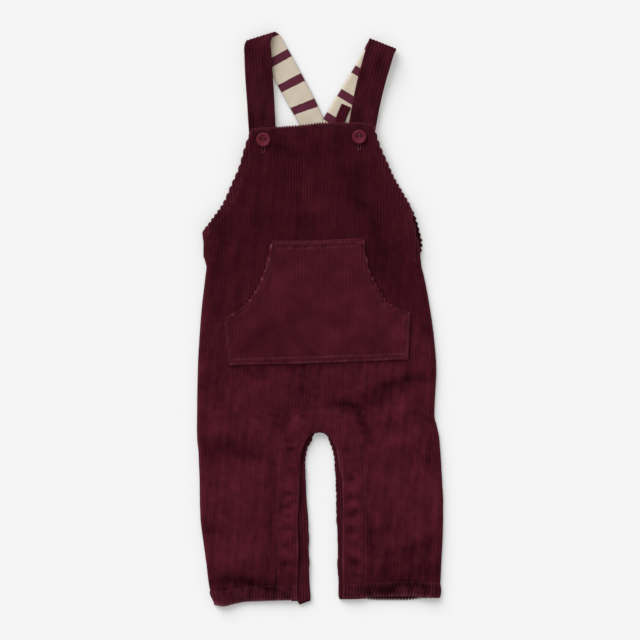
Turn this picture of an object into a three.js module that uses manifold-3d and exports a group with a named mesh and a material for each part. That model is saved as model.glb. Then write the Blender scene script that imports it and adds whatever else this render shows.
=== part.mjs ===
// Toddler overalls in wide-wale corduroy, laid flat on their back with the front up.
// Millimetres. +X is to the right of someone looking down at the front, +Y runs from the hems to
// the shoulder straps, and +Z is up from the surface that the overalls lie on.
import * as THREE from "three";
import { mergeVertices } from "three/addons/utils/BufferGeometryUtils.js";
import Module from "manifold-3d";

const wasm = await Module();
wasm.setup();

// The cloth: a woven ground, and wales that stand on it
const GROUND = 1.2;
const WALE_RISE = 0.7;
const CLOTH = GROUND + WALE_RISE;
const LINING = 0.8;
const GAP = 0.3;

// How the wales are shared out across the front: 8 to the inch, 80 from side to side
const FRONT_WALES = 80;
const LEFT_LEG_WALES = 33;
const RIGHT_LEG_WALES = 33;
const POCKET_WALES = 62;
const STRAP_WALES = 9;
const PLACKET_WALES = 6;

// The front's side edges, by height on the garment
const SIDES = [
  { y: -302, left: -113.5, right: 126.5 },
  { y: -283, left: -118, right: 127 },
  { y: -258, left: -121.5, right: 128 },
  { y: -232, left: -125.5, right: 129.5 },
  { y: -194, left: -128, right: 130.5 },
  { y: -156, left: -129, right: 128 },
  { y: -124, left: -130.5, right: 124.5 },
  { y: -105, left: -130.5, right: 121.5 },
  { y: -54, left: -130.5, right: 122.5 },
  { y: -16, left: -128, right: 120 },
  { y: 10, left: -126, right: 116.5 },
  { y: 35, left: -123.5, right: 112 },
  { y: 60, left: -123, right: 106.5 },
];

// The front's upper edge, from left to right: armhole, bib top, armhole
const LEFT_ARMHOLE = [
  { x: -124, y: 92 },
  { x: -120, y: 99 },
  { x: -111, y: 111.5 },
  { x: -102, y: 124 },
  { x: -96, y: 137 },
  { x: -88, y: 156 },
  { x: -81.5, y: 175 },
  { x: -77.5, y: 187.5 },
  { x: -73, y: 201.5 },
];
const BIB_TOP = [
  { x: -73, y: 201.5 },
  { x: -46, y: 203 },
  { x: -18, y: 205.5 },
  { x: 5, y: 208 },
  { x: 34, y: 208 },
  { x: 56, y: 207 },
];
const RIGHT_ARMHOLE = [
  { x: 56, y: 207 },
  { x: 60.5, y: 194 },
  { x: 65, y: 181.5 },
  { x: 75.5, y: 156 },
  { x: 90, y: 130.5 },
  { x: 96.5, y: 117.5 },
  { x: 101, y: 94.5 },
  { x: 103.5, y: 80.5 },
  { x: 107, y: 66 },
];

// Levels down the front, and the arch between the legs
const SIDE_SEAM_TOP = 60;
const BODY_FOOT = -112;
const CROTCH_TOP = -120.4;
const CROTCH_FOOT = -171;
const INNER_LEG_AT_HEM = { left: -23.5, right: 24 };
const LEFT_HEM = [
  { x: -114, y: -303.2 },
  { x: -106, y: -304.6 },
  { x: -93, y: -302.2 },
  { x: -78, y: -299.9 },
  { x: -60, y: -299.2 },
  { x: -23, y: -298 },
];
const RIGHT_HEM = [
  { x: 23, y: -297 },
  { x: 42, y: -297 },
  { x: 60, y: -295 },
  { x: 95, y: -294.2 },
  { x: 115, y: -295.6 },
  { x: 127, y: -296 },
];

// Where the cross-sections of the front lie: as heights on the body, and elsewhere as shares of
// each stretch from its top down
const BIB_ROWS = [0, 0.05, 0.065, 0.3, 0.55, 0.82, 1];
const BODY_ROWS = [40, 20, 0, -20, -38, -54, -70, -85, -99, BODY_FOOT];
const CROTCH_ROWS = [0, 0.5, 1];
const LEG_ROWS = [0, 0.22, 0.44, 0.66, 0.84, 0.86, 1];
const TURNED_HEM = 0.5;

// The columns at which the front's inside has points, two to a wale: closer where it curves
const SIDE_KEYS = [0, 2, 4, 6, 10, 15, 20, 25, 30, 35, 44, 55];
const ARCH_KEYS = [68, 72, 76, 80, 84, 88, 92];

// The front's inner face above the surface: a rolled side seam, panels lying on each other, and
// the straps between the panels at the bib
const SEAM_ROLL = 5.2;
const SEAM_FOOT = 0.4;
const BACK_TOP = 1.8;
const BODY_LIE = 5.4;
const LEG_LIE = 5.8;
const BIB_LIE = 6.6;
const BIB_EDGE_LIE = 7.4;
const ARMHOLE_LIE = 2.6;
const LOWEST_LIE = 2.3;
const PLACKET_LIE = 4.4;
const OVER_PLACKET = { halfWidth: 42, top: -90 };
const UNDERARM_DROOP = 38;
const FLAT_FROM_SEAM = 18;
const FOLDS_ON_BIB = 0.1;

// Stretches of height over which the front eases from one lie, or one edge, into the next
const LEG_TO_BODY = { low: -100, high: -40 };
const ONTO_STRAPS = { low: 140, high: 165 };
const TO_BIB_EDGE = { low: 183, high: 204 };
const OUT_OF_FOLDS = { low: 155, high: 175 };
const OUT_OF_DROOP = { low: 150, high: 170 };
const SEAM_END = { low: 60, high: 63 };
const INNER_LEG = { low: -231, high: -171 };

// Soft folds and hollows of the front: centre, half length, half width, turn from +X, and rise
const FOLDS = [
  { x: 27, y: 131, long: 60, wide: 15, turn: -68, rise: 2.9 },
  { x: 62, y: 98, long: 55, wide: 13, turn: -65, rise: -1.8 },
  { x: -42, y: 180, long: 26, wide: 7, turn: 0, rise: 1.6 },
  { x: 4, y: 112, long: 34, wide: 9, turn: 4, rise: 2 },
  { x: -84, y: 84, long: 34, wide: 13, turn: 72, rise: 2.1 },
  { x: -74, y: -56, long: 26, wide: 7, turn: 3, rise: -1.7 },
  { x: -80, y: -84, long: 24, wide: 12, turn: 35, rise: 3.1 },
  { x: -110, y: -62, long: 18, wide: 9, turn: -30, rise: -1.8 },
  { x: 69, y: -66, long: 46, wide: 10, turn: 20, rise: 2.9 },
  { x: 80, y: -86, long: 46, wide: 7, turn: 22, rise: -2.1 },
  { x: 84, y: -103, long: 24, wide: 10, turn: 40, rise: 3.6 },
  { x: 45, y: -112, long: 20, wide: 9, turn: -52, rise: -1.7 },
  { x: -31, y: -96, long: 20, wide: 7, turn: 74, rise: -1.6 },
  { x: -97, y: -125, long: 34, wide: 9, turn: -8, rise: 3.1 },
  { x: -95, y: -144, long: 36, wide: 8, turn: -8, rise: -2.5 },
  { x: -108, y: -222, long: 20, wide: 9, turn: -35, rise: -2.1 },
  { x: 90, y: -130, long: 26, wide: 11, turn: 30, rise: 2.6 },
  { x: -78, y: -254, long: 46, wide: 15, turn: 5, rise: 3.9 },
  { x: 92, y: -246, long: 38, wide: 13, turn: 24, rise: 3.9 },
  { x: 60, y: -190, long: 50, wide: 18, turn: 80, rise: 1.8 },
];

// The pocket on the front: its upper edge, and its side and lower edges
const POCKET_TOP = [
  { x: -102.5, y: 0 },
  { x: -92, y: 6.5 },
  { x: -79.5, y: 15 },
  { x: -69, y: 28.5 },
  { x: -61.5, y: 44.5 },
  { x: -57.5, y: 55 },
  { x: -55, y: 68 },
  { x: -50, y: 83 },
  { x: -15, y: 83 },
  { x: 45, y: 85.5 },
  { x: 48, y: 70 },
  { x: 53, y: 50 },
  { x: 61.5, y: 33 },
  { x: 71, y: 18 },
  { x: 83, y: 10.5 },
  { x: 96, y: 6.5 },
];
const POCKET_SIDES = [
  { y: -50, left: -97.5, right: 93.5 },
  { y: -2, left: -102.5, right: 96 },
];
const POCKET_BOTTOM = [
  { x: -98, y: -49.5 },
  { x: -14, y: -47.5 },
  { x: 94, y: -43.5 },
];
const POCKET_SEAT = 0.45;
const POCKET_ROWS = [90, SIDE_SEAM_TOP, 40, 20, 0, -20, -38, -60];
const POCKET_KEY_EVERY = 4;

// The back panel, flat underneath: its edge above the legs, going round from left to right
const BACK_INSET = 2.75;
const BACK_ROUND = 0.4;
const BACK_UPPER_EDGE = [
  { x: -119.5, y: 86 },
  { x: -108, y: 101 },
  { x: -90, y: 120 },
  { x: -65, y: 150 },
  { x: -45, y: 172 },
  { x: -30, y: 180 },
  { x: 37, y: 180 },
  { x: 50, y: 170 },
  { x: 64, y: 152 },
  { x: 78, y: 136 },
  { x: 90, y: 124 },
  { x: 97, y: 117.5 },
  { x: 102, y: 105 },
  { x: 105.5, y: 92 },
  { x: 107.5, y: 84 },
  { x: 108, y: 75 },
  { x: 105, y: 67 },
];
const BACK_HEM = { left: -296.5, right: -297.5 };
const BACK_FIRST_STEP = -288;
const BACK_STEP = 12;

// The placket strip on the back's inner legs: its edge at the gap, from hem to hem over the arch
const GAP_EDGE = [
  { x: -10.5, y: -299 },
  { x: -11.2, y: -266 },
  { x: -12.7, y: -213 },
  { x: -15.4, y: -175 },
  { x: -16, y: -153 },
  { x: -13.6, y: -138 },
  { x: -7.6, y: -122.6 },
  { x: 0, y: -119.9 },
  { x: 8.4, y: -121.8 },
  { x: 13.4, y: -136 },
  { x: 15.4, y: -150 },
  { x: 17.2, y: -175 },
  { x: 18.3, y: -213 },
  { x: 19.3, y: -266 },
  { x: 19.6, y: -297.5 },
];
const PLACKET_WIDTH = 20;
const PLACKET_STEPS = 24;

// Each strap by its left and right edges and its height, from its end behind the bib, up, over
// the fold at the shoulder, and down to the middle of the back
const LEFT_STRAP = [
  { lx: -73.7, ly: 171, rx: -45.1, ry: 171, z: 3.1 },
  { lx: -74.9, ly: 190, rx: -46.3, ry: 190, z: 3.3 },
  { lx: -76, ly: 206, rx: -47.1, ry: 206, z: 4.4 },
  { lx: -77.4, ly: 229, rx: -48.2, ry: 229, z: 5 },
  { lx: -79.3, ly: 256, rx: -49.8, ry: 256, z: 6.4 },
  { lx: -80.2, ly: 278, rx: -51.4, ry: 281, z: 8.2 },
  { lx: -80.3, ly: 289, rx: -51.2, ry: 294.8, z: 8.4 },
  { lx: -78.2, ly: 293.6, rx: -46.6, ry: 303.4, z: 5.6 },
  { lx: -71.5, ly: 288.5, rx: -42.4, ry: 301, z: 2.8 },
  { lx: -62.5, ly: 277, rx: -36.6, ry: 291, z: 2.2 },
  { lx: -53.5, ly: 263, rx: -28.7, ry: 277, z: 2.2 },
  { lx: -41.6, ly: 241.7, rx: -16.6, ry: 254.5, z: 2.2 },
  { lx: -30.7, ly: 222, rx: -4.9, ry: 232, z: 2.2 },
  { lx: -20.6, ly: 204.5, rx: 4.6, ry: 211.5, z: 2.2 },
  { lx: -10, ly: 184, rx: 14.6, ry: 191.5, z: 4.1 },
  { lx: 6, ly: 154, rx: 30.6, ry: 161.5, z: 4.3 },
];
const RIGHT_STRAP = [
  { lx: 24.9, ly: 171.7, rx: 53.4, ry: 167, z: 3.1 },
  { lx: 27.6, ly: 189.7, rx: 56.2, ry: 185, z: 3.3 },
  { lx: 30.7, ly: 208.3, rx: 59.4, ry: 203.5, z: 4.5 },
  { lx: 35, ly: 232.1, rx: 63.8, ry: 226.8, z: 5 },
  { lx: 40, ly: 255.5, rx: 69, ry: 248.6, z: 6.4 },
  { lx: 45.7, ly: 276.7, rx: 74.8, ry: 268.2, z: 8.2 },
  { lx: 49.8, ly: 290.4, rx: 78.5, ry: 280.4, z: 8.4 },
  { lx: 51.9, ly: 296.5, rx: 80.8, ry: 285, z: 5.6 },
  { lx: 49.6, ly: 292, rx: 76, ry: 279.5, z: 2.8 },
  { lx: 43.6, ly: 279.6, rx: 67.4, ry: 265.5, z: 2.2 },
  { lx: 31.6, ly: 259.2, rx: 55, ry: 244.9, z: 2.2 },
  { lx: 18.5, ly: 237.4, rx: 41.6, ry: 223.2, z: 2.2 },
  { lx: 6.4, ly: 217.8, rx: 29.7, ry: 204, z: 2.2 },
  { lx: -5.3, ly: 199.3, rx: 18, ry: 185, z: 3.7 },
  { lx: -22, ly: 170, rx: 1.5, ry: 156, z: 4.3 },
];
const STRAP_STEPS = 20;
const STRAP_KEYS = [0, 6, 12, 18];
const STRAPS_MEET = 3.5;
const MITRE = { reach: 60, foot: 140, top: 216, under: -5, over: 20 };

// The hanging loop at the middle of the back, pressed flat
const HANGING_LOOP = [
  { lx: 13.4, ly: 203, rx: 23.2, ry: 199, z: 4.2 },
  { lx: 18, ly: 217, rx: 28, ry: 213, z: 3.6 },
  { lx: 23, ly: 228.6, rx: 32.8, ry: 224.4, z: 3.4 },
];
const LOOP_THICK = 1.5;
const LOOP_RIB = 0.4;
const LOOP_STEPS = 6;

// The two buttons, which come up through slots in the bib
const BUTTONS = [
  { name: "button_left", x: -60, y: 190 },
  { name: "button_right", x: 41.6, y: 193 },
];
const BUTTON_RADIUS = 7.6;
const BUTTON_THICK = 2.8;
const BUTTON_SIDES = 26;
const BUTTON_HOLE = { radius: 0.8, apart: 3.8, sides: 10, long: 8 };
const BUTTONHOLE = { width: 1.2, above: 3.5, below: 13.5, tall: 20 };
const BUTTON_REST = 0.9;

// Half of a button's cross-section, as shares of its radius and its thickness
const BUTTON_PROFILE = [
  { out: 0, up: 0 },
  { out: 0.72, up: 0 },
  { out: 1, up: 0.4 },
  { out: 1, up: 0.7 },
  { out: 0.88, up: 1 },
  { out: 0.7, up: 0.97 },
  { out: 0.58, up: 0.72 },
  { out: 0, up: 0.68 },
];

const SAME_POINT = 1e-4;

const CORDUROY = new THREE.MeshStandardMaterial({
  color: 0x47141f,
  roughness: 0.95,
  metalness: 0,
});
const STRIPED_JERSEY = new THREE.MeshStandardMaterial({
  color: 0xcbbda9,
  roughness: 0.95,
  metalness: 0,
});
const BUTTON_RESIN = new THREE.MeshStandardMaterial({
  color: 0x6e2733,
  roughness: 0.4,
  metalness: 0,
});

const mix = (a, b, share) => a + (b - a) * share;

function smooth(low, high, value) {
  const t = Math.min(1, Math.max(0, (value - low) / (high - low)));
  return t * t * (3 - 2 * t);
}

const eased = ({ low, high }, value) => smooth(low, high, value);

// A column of a table at a place between its rows, on a curve that never swings past them.
function read(table, key, column, at) {
  const last = table.length - 1;
  if (at <= table[0][key]) return table[0][column];
  if (at >= table[last][key]) return table[last][column];
  const i = table.findIndex((row) => at < row[key]);
  const slope = (n) =>
    (table[n][column] - table[n - 1][column]) /
    (table[n][key] - table[n - 1][key]);
  const tangent = (p, q) => (p * q > 0 ? (2 * p * q) / (p + q) : 0);
  const here = slope(i);
  const start = tangent(i > 1 ? slope(i - 1) : here, here);
  const end = tangent(here, i < last ? slope(i + 1) : here);
  const width = table[i][key] - table[i - 1][key];
  const t = (at - table[i - 1][key]) / width;
  return (
    table[i - 1][column] * (1 - t) * (1 - t) * (1 + 2 * t) +
    table[i][column] * t * t * (3 - 2 * t) +
    start * width * t * (1 - t) * (1 - t) -
    end * width * t * t * (1 - t)
  );
}

function upperEdge(x) {
  if (x < BIB_TOP[0].x) return read(LEFT_ARMHOLE, "x", "y", x);
  if (x > RIGHT_ARMHOLE[0].x) return read(RIGHT_ARMHOLE, "x", "y", x);
  return read(BIB_TOP, "x", "y", x);
}

function foldsAt(x, y) {
  let rise = 0;
  for (const fold of FOLDS) {
    const turn = THREE.MathUtils.degToRad(fold.turn);
    const dx = x - fold.x;
    const dy = y - fold.y;
    const along = (dx * Math.cos(turn) + dy * Math.sin(turn)) / fold.long;
    const across = (dy * Math.cos(turn) - dx * Math.sin(turn)) / fold.wide;
    rise += fold.rise * Math.exp(-along * along - across * across);
  }
  return rise;
}

// Height of the front's inner face where it lies over the back, away from the side seams.
function lieOf(x, y) {
  const body = mix(LEG_LIE, BODY_LIE, eased(LEG_TO_BODY, y));
  const overStraps = mix(body, BIB_LIE, eased(ONTO_STRAPS, y));
  const plain = mix(overStraps, BIB_EDGE_LIE, eased(TO_BIB_EDGE, y));
  const nearEdge = 1 - smooth(0, UNDERARM_DROOP, upperEdge(x) - y);
  const droop = nearEdge * (1 - eased(OUT_OF_DROOP, y));
  const underarm = mix(plain, ARMHOLE_LIE, droop);
  const folds = foldsAt(x, y) * mix(1, FOLDS_ON_BIB, eased(OUT_OF_FOLDS, y));
  const overPlacket = Math.abs(x) < OVER_PLACKET.halfWidth && y < OVER_PLACKET.top;
  const lowest = overPlacket ? PLACKET_LIE : LOWEST_LIE;
  return Math.max(lowest, underarm + folds * (1 - droop));
}

// The front's left and right edges where a wale lies at a height, and which of them are seams.
function spanOf(wale, y) {
  const level = Math.min(y, SIDE_SEAM_TOP);
  const whole = {
    left: read(SIDES, "y", "left", level) + CLOTH,
    right: read(SIDES, "y", "right", level) - CLOTH,
    first: 0,
    last: FRONT_WALES,
    leftSeam: true,
    rightSeam: true,
  };
  if (y >= CROTCH_FOOT) return whole;
  const towardsHem = 1 - eased(INNER_LEG, y);
  const onLeftLeg = wale <= LEFT_LEG_WALES;
  const innerWale = onLeftLeg ? LEFT_LEG_WALES : FRONT_WALES - RIGHT_LEG_WALES;
  const atHem = onLeftLeg ? INNER_LEG_AT_HEM.left : INNER_LEG_AT_HEM.right;
  const inner = mix(frontPoint(innerWale, CROTCH_FOOT).x, atHem, towardsHem);
  return onLeftLeg
    ? { ...whole, right: inner, last: innerWale, rightSeam: false }
    : { ...whole, left: inner, first: innerWale, leftSeam: false };
}

// A point of the front's inner face and the direction out of it. Wales are counted from the left.
function frontPoint(wale, y) {
  const { left, right, first, last, leftSeam, rightSeam } = spanOf(wale, y);
  const rollLength = (Math.PI / 2) * SEAM_ROLL;
  const foot = mix(SEAM_FOOT, LOWEST_LIE, eased(SEAM_END, y));
  const extra = rollLength - SEAM_ROLL;
  const length = right - left + (leftSeam ? extra : 0) + (rightSeam ? extra : 0);
  const run = (length * (wale - first)) / (last - first);
  const fromLeft = leftSeam ? run : Infinity;
  const fromRight = rightSeam ? length - run : Infinity;
  const side = fromLeft <= fromRight ? -1 : 1;
  const edge = side < 0 ? left : right;
  const fromSeam = Math.min(fromLeft, fromRight);
  if (fromSeam < rollLength) {
    const angle = fromSeam / SEAM_ROLL;
    return {
      x: edge - side * SEAM_ROLL * (1 - Math.cos(angle)),
      y,
      z: foot + SEAM_ROLL * Math.sin(angle),
      out: new THREE.Vector3(side * Math.cos(angle), 0, Math.sin(angle)),
    };
  }
  const x = edge - side * (SEAM_ROLL + fromSeam - rollLength);
  const flat = smooth(0, FLAT_FROM_SEAM, fromSeam - rollLength);
  const z = mix(foot + SEAM_ROLL, lieOf(x, y), flat);
  return { x, y, z, out: new THREE.Vector3(0, 0, 1) };
}

const moved = (point, distance) =>
  new THREE.Vector3(point.x, point.y, point.z).addScaledVector(
    point.out,
    distance,
  );

// How far out the cloth reaches at a fine column: a wale's top, or the hollow beside it.
const reliefAt = (column) => GROUND + (column % 2 ? WALE_RISE : 0);

// A closed wall of cloth. outer holds rows of fine columns. inner holds the same rows at the
// columns that keys lists. isCloth says which spaces between two keys and two rows have cloth.
function wall({ outer, inner, keys, isCloth = () => true }) {
  const points = [];
  const faces = [];
  const place = (grid) =>
    grid.map((row) => row.map((point) => points.push(point) - 1));
  const o = place(outer);
  const n = place(inner);
  const rows = outer.length - 1;
  const spaces = keys.length - 1;
  const there = (k, m) =>
    k >= 0 && k < rows && m >= 0 && m < spaces && isCloth(k, m);

  // The edge of the cloth between an outer run of points and the two inner ones beside it
  function edge(run, from, to) {
    const middle = Math.floor((run.length - 1) / 2);
    for (let i = 0; i < run.length - 1; i++)
      faces.push(run[i], run[i + 1], i < middle ? from : to);
    faces.push(run[middle], to, from);
  }

  for (let k = 0; k < rows; k++)
    for (let m = 0; m < spaces; m++) {
      if (!there(k, m)) continue;
      const first = keys[m];
      const last = keys[m + 1];
      for (let j = first; j < last; j++) {
        faces.push(o[k][j], o[k + 1][j], o[k + 1][j + 1]);
        faces.push(o[k][j], o[k + 1][j + 1], o[k][j + 1]);
      }
      faces.push(n[k][m], n[k + 1][m + 1], n[k + 1][m]);
      faces.push(n[k][m], n[k][m + 1], n[k + 1][m + 1]);
      const above = o[k].slice(first, last + 1);
      const below = o[k + 1].slice(first, last + 1).reverse();
      if (!there(k - 1, m)) edge(above, n[k][m], n[k][m + 1]);
      if (!there(k + 1, m)) edge(below, n[k + 1][m + 1], n[k + 1][m]);
      if (!there(k, m - 1))
        edge([o[k + 1][first], o[k][first]], n[k + 1][m], n[k][m]);
      if (!there(k, m + 1))
        edge([o[k][last], o[k + 1][last]], n[k][m + 1], n[k + 1][m + 1]);
    }

  const used = [...new Set(faces)];
  const renumber = new Map(used.map((old, now) => [old, now]));
  const geometry = new THREE.BufferGeometry().setFromPoints(
    used.map((i) => points[i]),
  );
  geometry.setIndex(faces.map((i) => renumber.get(i)));
  return geometry;
}

// Joins and cuts, by way of solids
function solidOf(geometry) {
  const bare = geometry.clone();
  bare.deleteAttribute("normal");
  bare.deleteAttribute("uv");
  const merged = mergeVertices(bare, SAME_POINT);
  return new wasm.Manifold(
    new wasm.Mesh({
      numProp: 3,
      vertProperties: merged.attributes.position.array,
      triVerts: new Uint32Array(merged.index.array),
    }),
  );
}

function geometryOf(solid) {
  const { vertProperties, triVerts } = solid.getMesh();
  const geometry = new THREE.BufferGeometry();
  geometry.setAttribute(
    "position",
    new THREE.BufferAttribute(new Float32Array(vertProperties), 3),
  );
  geometry.setIndex([...triVerts]);
  return geometry;
}

function without(geometry, ...cutters) {
  const left = cutters.reduce(
    (solid, cutter) => solid.subtract(solidOf(cutter)),
    solidOf(geometry),
  );
  return geometryOf(left);
}

function block(low, high) {
  const size = new THREE.Vector3().subVectors(high, low);
  const middle = new THREE.Vector3().addVectors(low, high).multiplyScalar(0.5);
  return new THREE.BoxGeometry(size.x, size.y, size.z).translate(
    middle.x,
    middle.y,
    middle.z,
  );
}

// The front in one piece: bib, body and both leg fronts
function archAt(x) {
  const left = frontPoint(LEFT_LEG_WALES, CROTCH_FOOT).x;
  const right = frontPoint(FRONT_WALES - RIGHT_LEG_WALES, CROTCH_FOOT).x;
  const across = (x - (left + right) / 2) / ((right - left) / 2);
  const fall = 1 - Math.sqrt(Math.max(0, 1 - across * across));
  return mix(CROTCH_TOP, CROTCH_FOOT, fall);
}

const rightLegStart = FRONT_WALES - RIGHT_LEG_WALES;

function betweenLegs(wale) {
  return wale > LEFT_LEG_WALES && wale < rightLegStart;
}

function frontRowHeights(wale) {
  const x = frontPoint(wale, SIDE_SEAM_TOP).x;
  const top = upperEdge(x);
  const atCrotch = frontPoint(wale, CROTCH_FOOT).x;
  const foot = betweenLegs(wale) ? archAt(atCrotch) : CROTCH_FOOT;
  const hemTable = wale <= LEFT_LEG_WALES ? LEFT_HEM : RIGHT_HEM;
  const hem = read(hemTable, "x", "y", frontPoint(wale, hemTable[2].y).x);
  const bib = BIB_ROWS.map((share) => mix(top, SIDE_SEAM_TOP, share));
  const crotch = CROTCH_ROWS.slice(1).map((s) => mix(BODY_FOOT, foot, s));
  const leg = LEG_ROWS.slice(1).map((s) => mix(CROTCH_FOOT, hem, s));
  const upper = [...bib, ...BODY_ROWS, ...crotch];
  return { heights: [...upper, ...leg], crotchRow: upper.length - 1 };
}

function frontGeometry() {
  const columns = 2 * FRONT_WALES;
  const leftLeg = 2 * LEFT_LEG_WALES;
  const rightLeg = 2 * rightLegStart;
  const farKeys = SIDE_KEYS.map((key) => columns - key).reverse();
  const keys = [...SIDE_KEYS, leftLeg, ...ARCH_KEYS, rightLeg, ...farKeys];
  const perColumn = [];
  for (let j = 0; j <= columns; j++) {
    perColumn.push(frontRowHeights(j / 2));
  }
  const crotchRow = perColumn[0].crotchRow;
  const rows = perColumn[0].heights.length;
  const outer = [];
  const inner = [];
  for (let k = 0; k < rows; k++) {
    const inHem = k <= 1 || k >= rows - 2;
    const pointAt = (j) => frontPoint(j / 2, perColumn[j].heights[k]);
    outer.push(
      perColumn.map((_, j) =>
        moved(pointAt(j), reliefAt(j) + (inHem ? TURNED_HEM : 0)),
      ),
    );
    inner.push(keys.map((key) => moved(pointAt(key), 0)));
  }
  const isCloth = (k, m) =>
    k < crotchRow || keys[m] < leftLeg || keys[m] >= rightLeg;
  const sheet = wall({ outer, inner, keys, isCloth });
  const slots = BUTTONS.map(({ x, y }) =>
    block(
      new THREE.Vector3(x - BUTTONHOLE.width / 2, y - BUTTONHOLE.below, 0),
      new THREE.Vector3(
        x + BUTTONHOLE.width / 2,
        y + BUTTONHOLE.above,
        BUTTONHOLE.tall,
      ),
    ),
  );
  return without(sheet, ...slots);
}

// The pouch pocket, laid on the front: made from the front's own height, moved out
function pocketGeometry() {
  const columns = 2 * POCKET_WALES;
  const keys = [];
  for (let j = 0; j <= columns; j += POCKET_KEY_EVERY) {
    keys.push(j);
  }
  const outer = [];
  const inner = [];
  for (const height of POCKET_ROWS) {
    const rowAt = (j, distance) => {
      const across = j / columns;
      const left = POCKET_SIDES[1].left;
      const wide = mix(left, POCKET_SIDES[1].right, across);
      const top = read(POCKET_TOP, "x", "y", wide);
      const bottom = read(POCKET_BOTTOM, "x", "y", wide);
      const y = Math.max(bottom, Math.min(top, height));
      const low = read(POCKET_SIDES, "y", "left", y);
      const high = read(POCKET_SIDES, "y", "right", y);
      const x = mix(low, high, across);
      return new THREE.Vector3(x, y, lieOf(x, y) + CLOTH + POCKET_SEAT + distance);
    };
    outer.push([]);
    for (let j = 0; j <= columns; j++) {
      outer.at(-1).push(rowAt(j, reliefAt(j)));
    }
    inner.push(keys.map((key) => rowAt(key, 0)));
  }
  return wall({ outer, inner, keys });
}

// The back panel: one flat cut of cloth, its underside on the surface
function backGeometry() {
  const edge = [];
  const add = (x, y) => edge.push(new THREE.Vector2(x, y));
  const side = (column, sign, heights) =>
    heights.forEach((y) =>
      add(read(SIDES, "y", column, y) - sign * BACK_INSET, y),
    );
  const heights = [];
  for (let y = BACK_FIRST_STEP; y <= SIDE_SEAM_TOP; y += BACK_STEP) {
    heights.push(y);
  }
  side("left", -1, [BACK_HEM.left, ...heights]);
  BACK_UPPER_EDGE.forEach(({ x, y }) => add(x, y));
  side("right", 1, [...heights.reverse(), BACK_HEM.right]);
  const gap = GAP_EDGE.map(({ x, y }) => ({ x, y }));
  gap[0].y = BACK_HEM.left;
  gap.at(-1).y = BACK_HEM.right;
  gap.reverse().forEach(({ x, y }) => add(x, y));
  const geometry = new THREE.ExtrudeGeometry(new THREE.Shape(edge), {
    depth: BACK_TOP - 2 * BACK_ROUND,
    bevelEnabled: true,
    bevelThickness: BACK_ROUND,
    bevelSize: BACK_ROUND,
    bevelOffset: -BACK_ROUND,
    bevelSegments: 1,
  });
  return geometry.translate(0, 0, BACK_ROUND);
}

// A long strip between two edges. layers gives, at each fine column, how far it reaches along
// the direction that faces out of the strip, on its near and far side.
function strip({ edges, steps, columns, keys, near, far }) {
  const left = new THREE.CatmullRomCurve3(
    edges.map((e) => new THREE.Vector3(e.lx, e.ly, e.z)),
  );
  const right = new THREE.CatmullRomCurve3(
    edges.map((e) => new THREE.Vector3(e.rx, e.ry, e.z)),
  );
  const outer = [];
  const inner = [];
  for (let k = steps; k >= 0; k--) {
    const t = k / steps;
    const a = left.getPoint(t);
    const b = right.getPoint(t);
    const across = new THREE.Vector3().subVectors(b, a).normalize();
    const ahead = left.getTangent(t).add(right.getTangent(t)).normalize();
    const out = new THREE.Vector3().crossVectors(across, ahead).normalize();
    const at = (j, distance) =>
      new THREE.Vector3()
        .lerpVectors(a, b, j / columns)
        .addScaledVector(out, distance);
    outer.push([]);
    for (let j = 0; j <= columns; j++) {
      outer.at(-1).push(at(j, far(j)));
    }
    inner.push(keys.map((key) => at(key, near)));
  }
  return wall({ outer, inner, keys });
}

// Corduroy outside and striped jersey inside, both cut where the straps meet on the back
function strapGeometries(edges, cutter) {
  const columns = 2 * STRAP_WALES;
  const corduroy = strip({
    edges,
    steps: STRAP_STEPS,
    columns,
    keys: STRAP_KEYS,
    near: GAP / 2,
    far: (j) => GAP / 2 + reliefAt(j),
  });
  const jersey = strip({
    edges,
    steps: STRAP_STEPS,
    columns: 2,
    keys: [0, 1, 2],
    near: -GAP / 2 - LINING,
    far: () => -GAP / 2,
  });
  return [without(corduroy, cutter), without(jersey, cutter)];
}

// What is cut off a strap past the line where the two meet. side is -1 for the left strap.
function strapCutter(side) {
  const from = STRAPS_MEET + (side * GAP) / 2;
  const to = -side * MITRE.reach;
  const low = new THREE.Vector3(Math.min(from, to), MITRE.foot, MITRE.under);
  const high = new THREE.Vector3(Math.max(from, to), MITRE.top, MITRE.over);
  return block(low, high);
}

function placketGeometry() {
  const curve = new THREE.CatmullRomCurve3(
    GAP_EDGE.map(({ x, y }) => new THREE.Vector3(x, y, 0)),
  );
  const edges = [];
  for (let i = 0; i <= PLACKET_STEPS; i++) {
    const near = curve.getPoint(i / PLACKET_STEPS);
    const ahead = curve.getTangent(i / PLACKET_STEPS);
    const far = new THREE.Vector3(-ahead.y, ahead.x, 0);
    far.multiplyScalar(PLACKET_WIDTH).add(near);
    edges.push({
      lx: far.x,
      ly: far.y,
      rx: near.x,
      ry: near.y,
      z: BACK_TOP + GAP,
    });
  }
  const columns = 2 * PLACKET_WALES;
  return strip({
    edges,
    steps: PLACKET_STEPS,
    columns,
    keys: [0, columns / 2, columns],
    near: 0,
    far: reliefAt,
  });
}

function loopGeometry() {
  return strip({
    edges: HANGING_LOOP,
    steps: LOOP_STEPS,
    columns: 6,
    keys: [0, 3, 6],
    near: 0,
    far: (j) => LOOP_THICK + (j % 2 ? LOOP_RIB : 0),
  });
}

// A two-hole button with a raised rim, its foot at z = 0
function buttonGeometry() {
  const half = BUTTON_PROFILE.map(
    ({ out, up }) => new THREE.Vector2(out * BUTTON_RADIUS, up * BUTTON_THICK),
  );
  const disc = new THREE.LatheGeometry(half, BUTTON_SIDES).rotateX(Math.PI / 2);
  const { radius, apart, sides, long } = BUTTON_HOLE;
  const drills = [-1, 1].map((side) =>
    new THREE.CylinderGeometry(radius, radius, long, sides)
      .rotateX(Math.PI / 2)
      .translate((side * apart) / 2, 0, 0),
  );
  return without(disc, ...drills);
}

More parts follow.
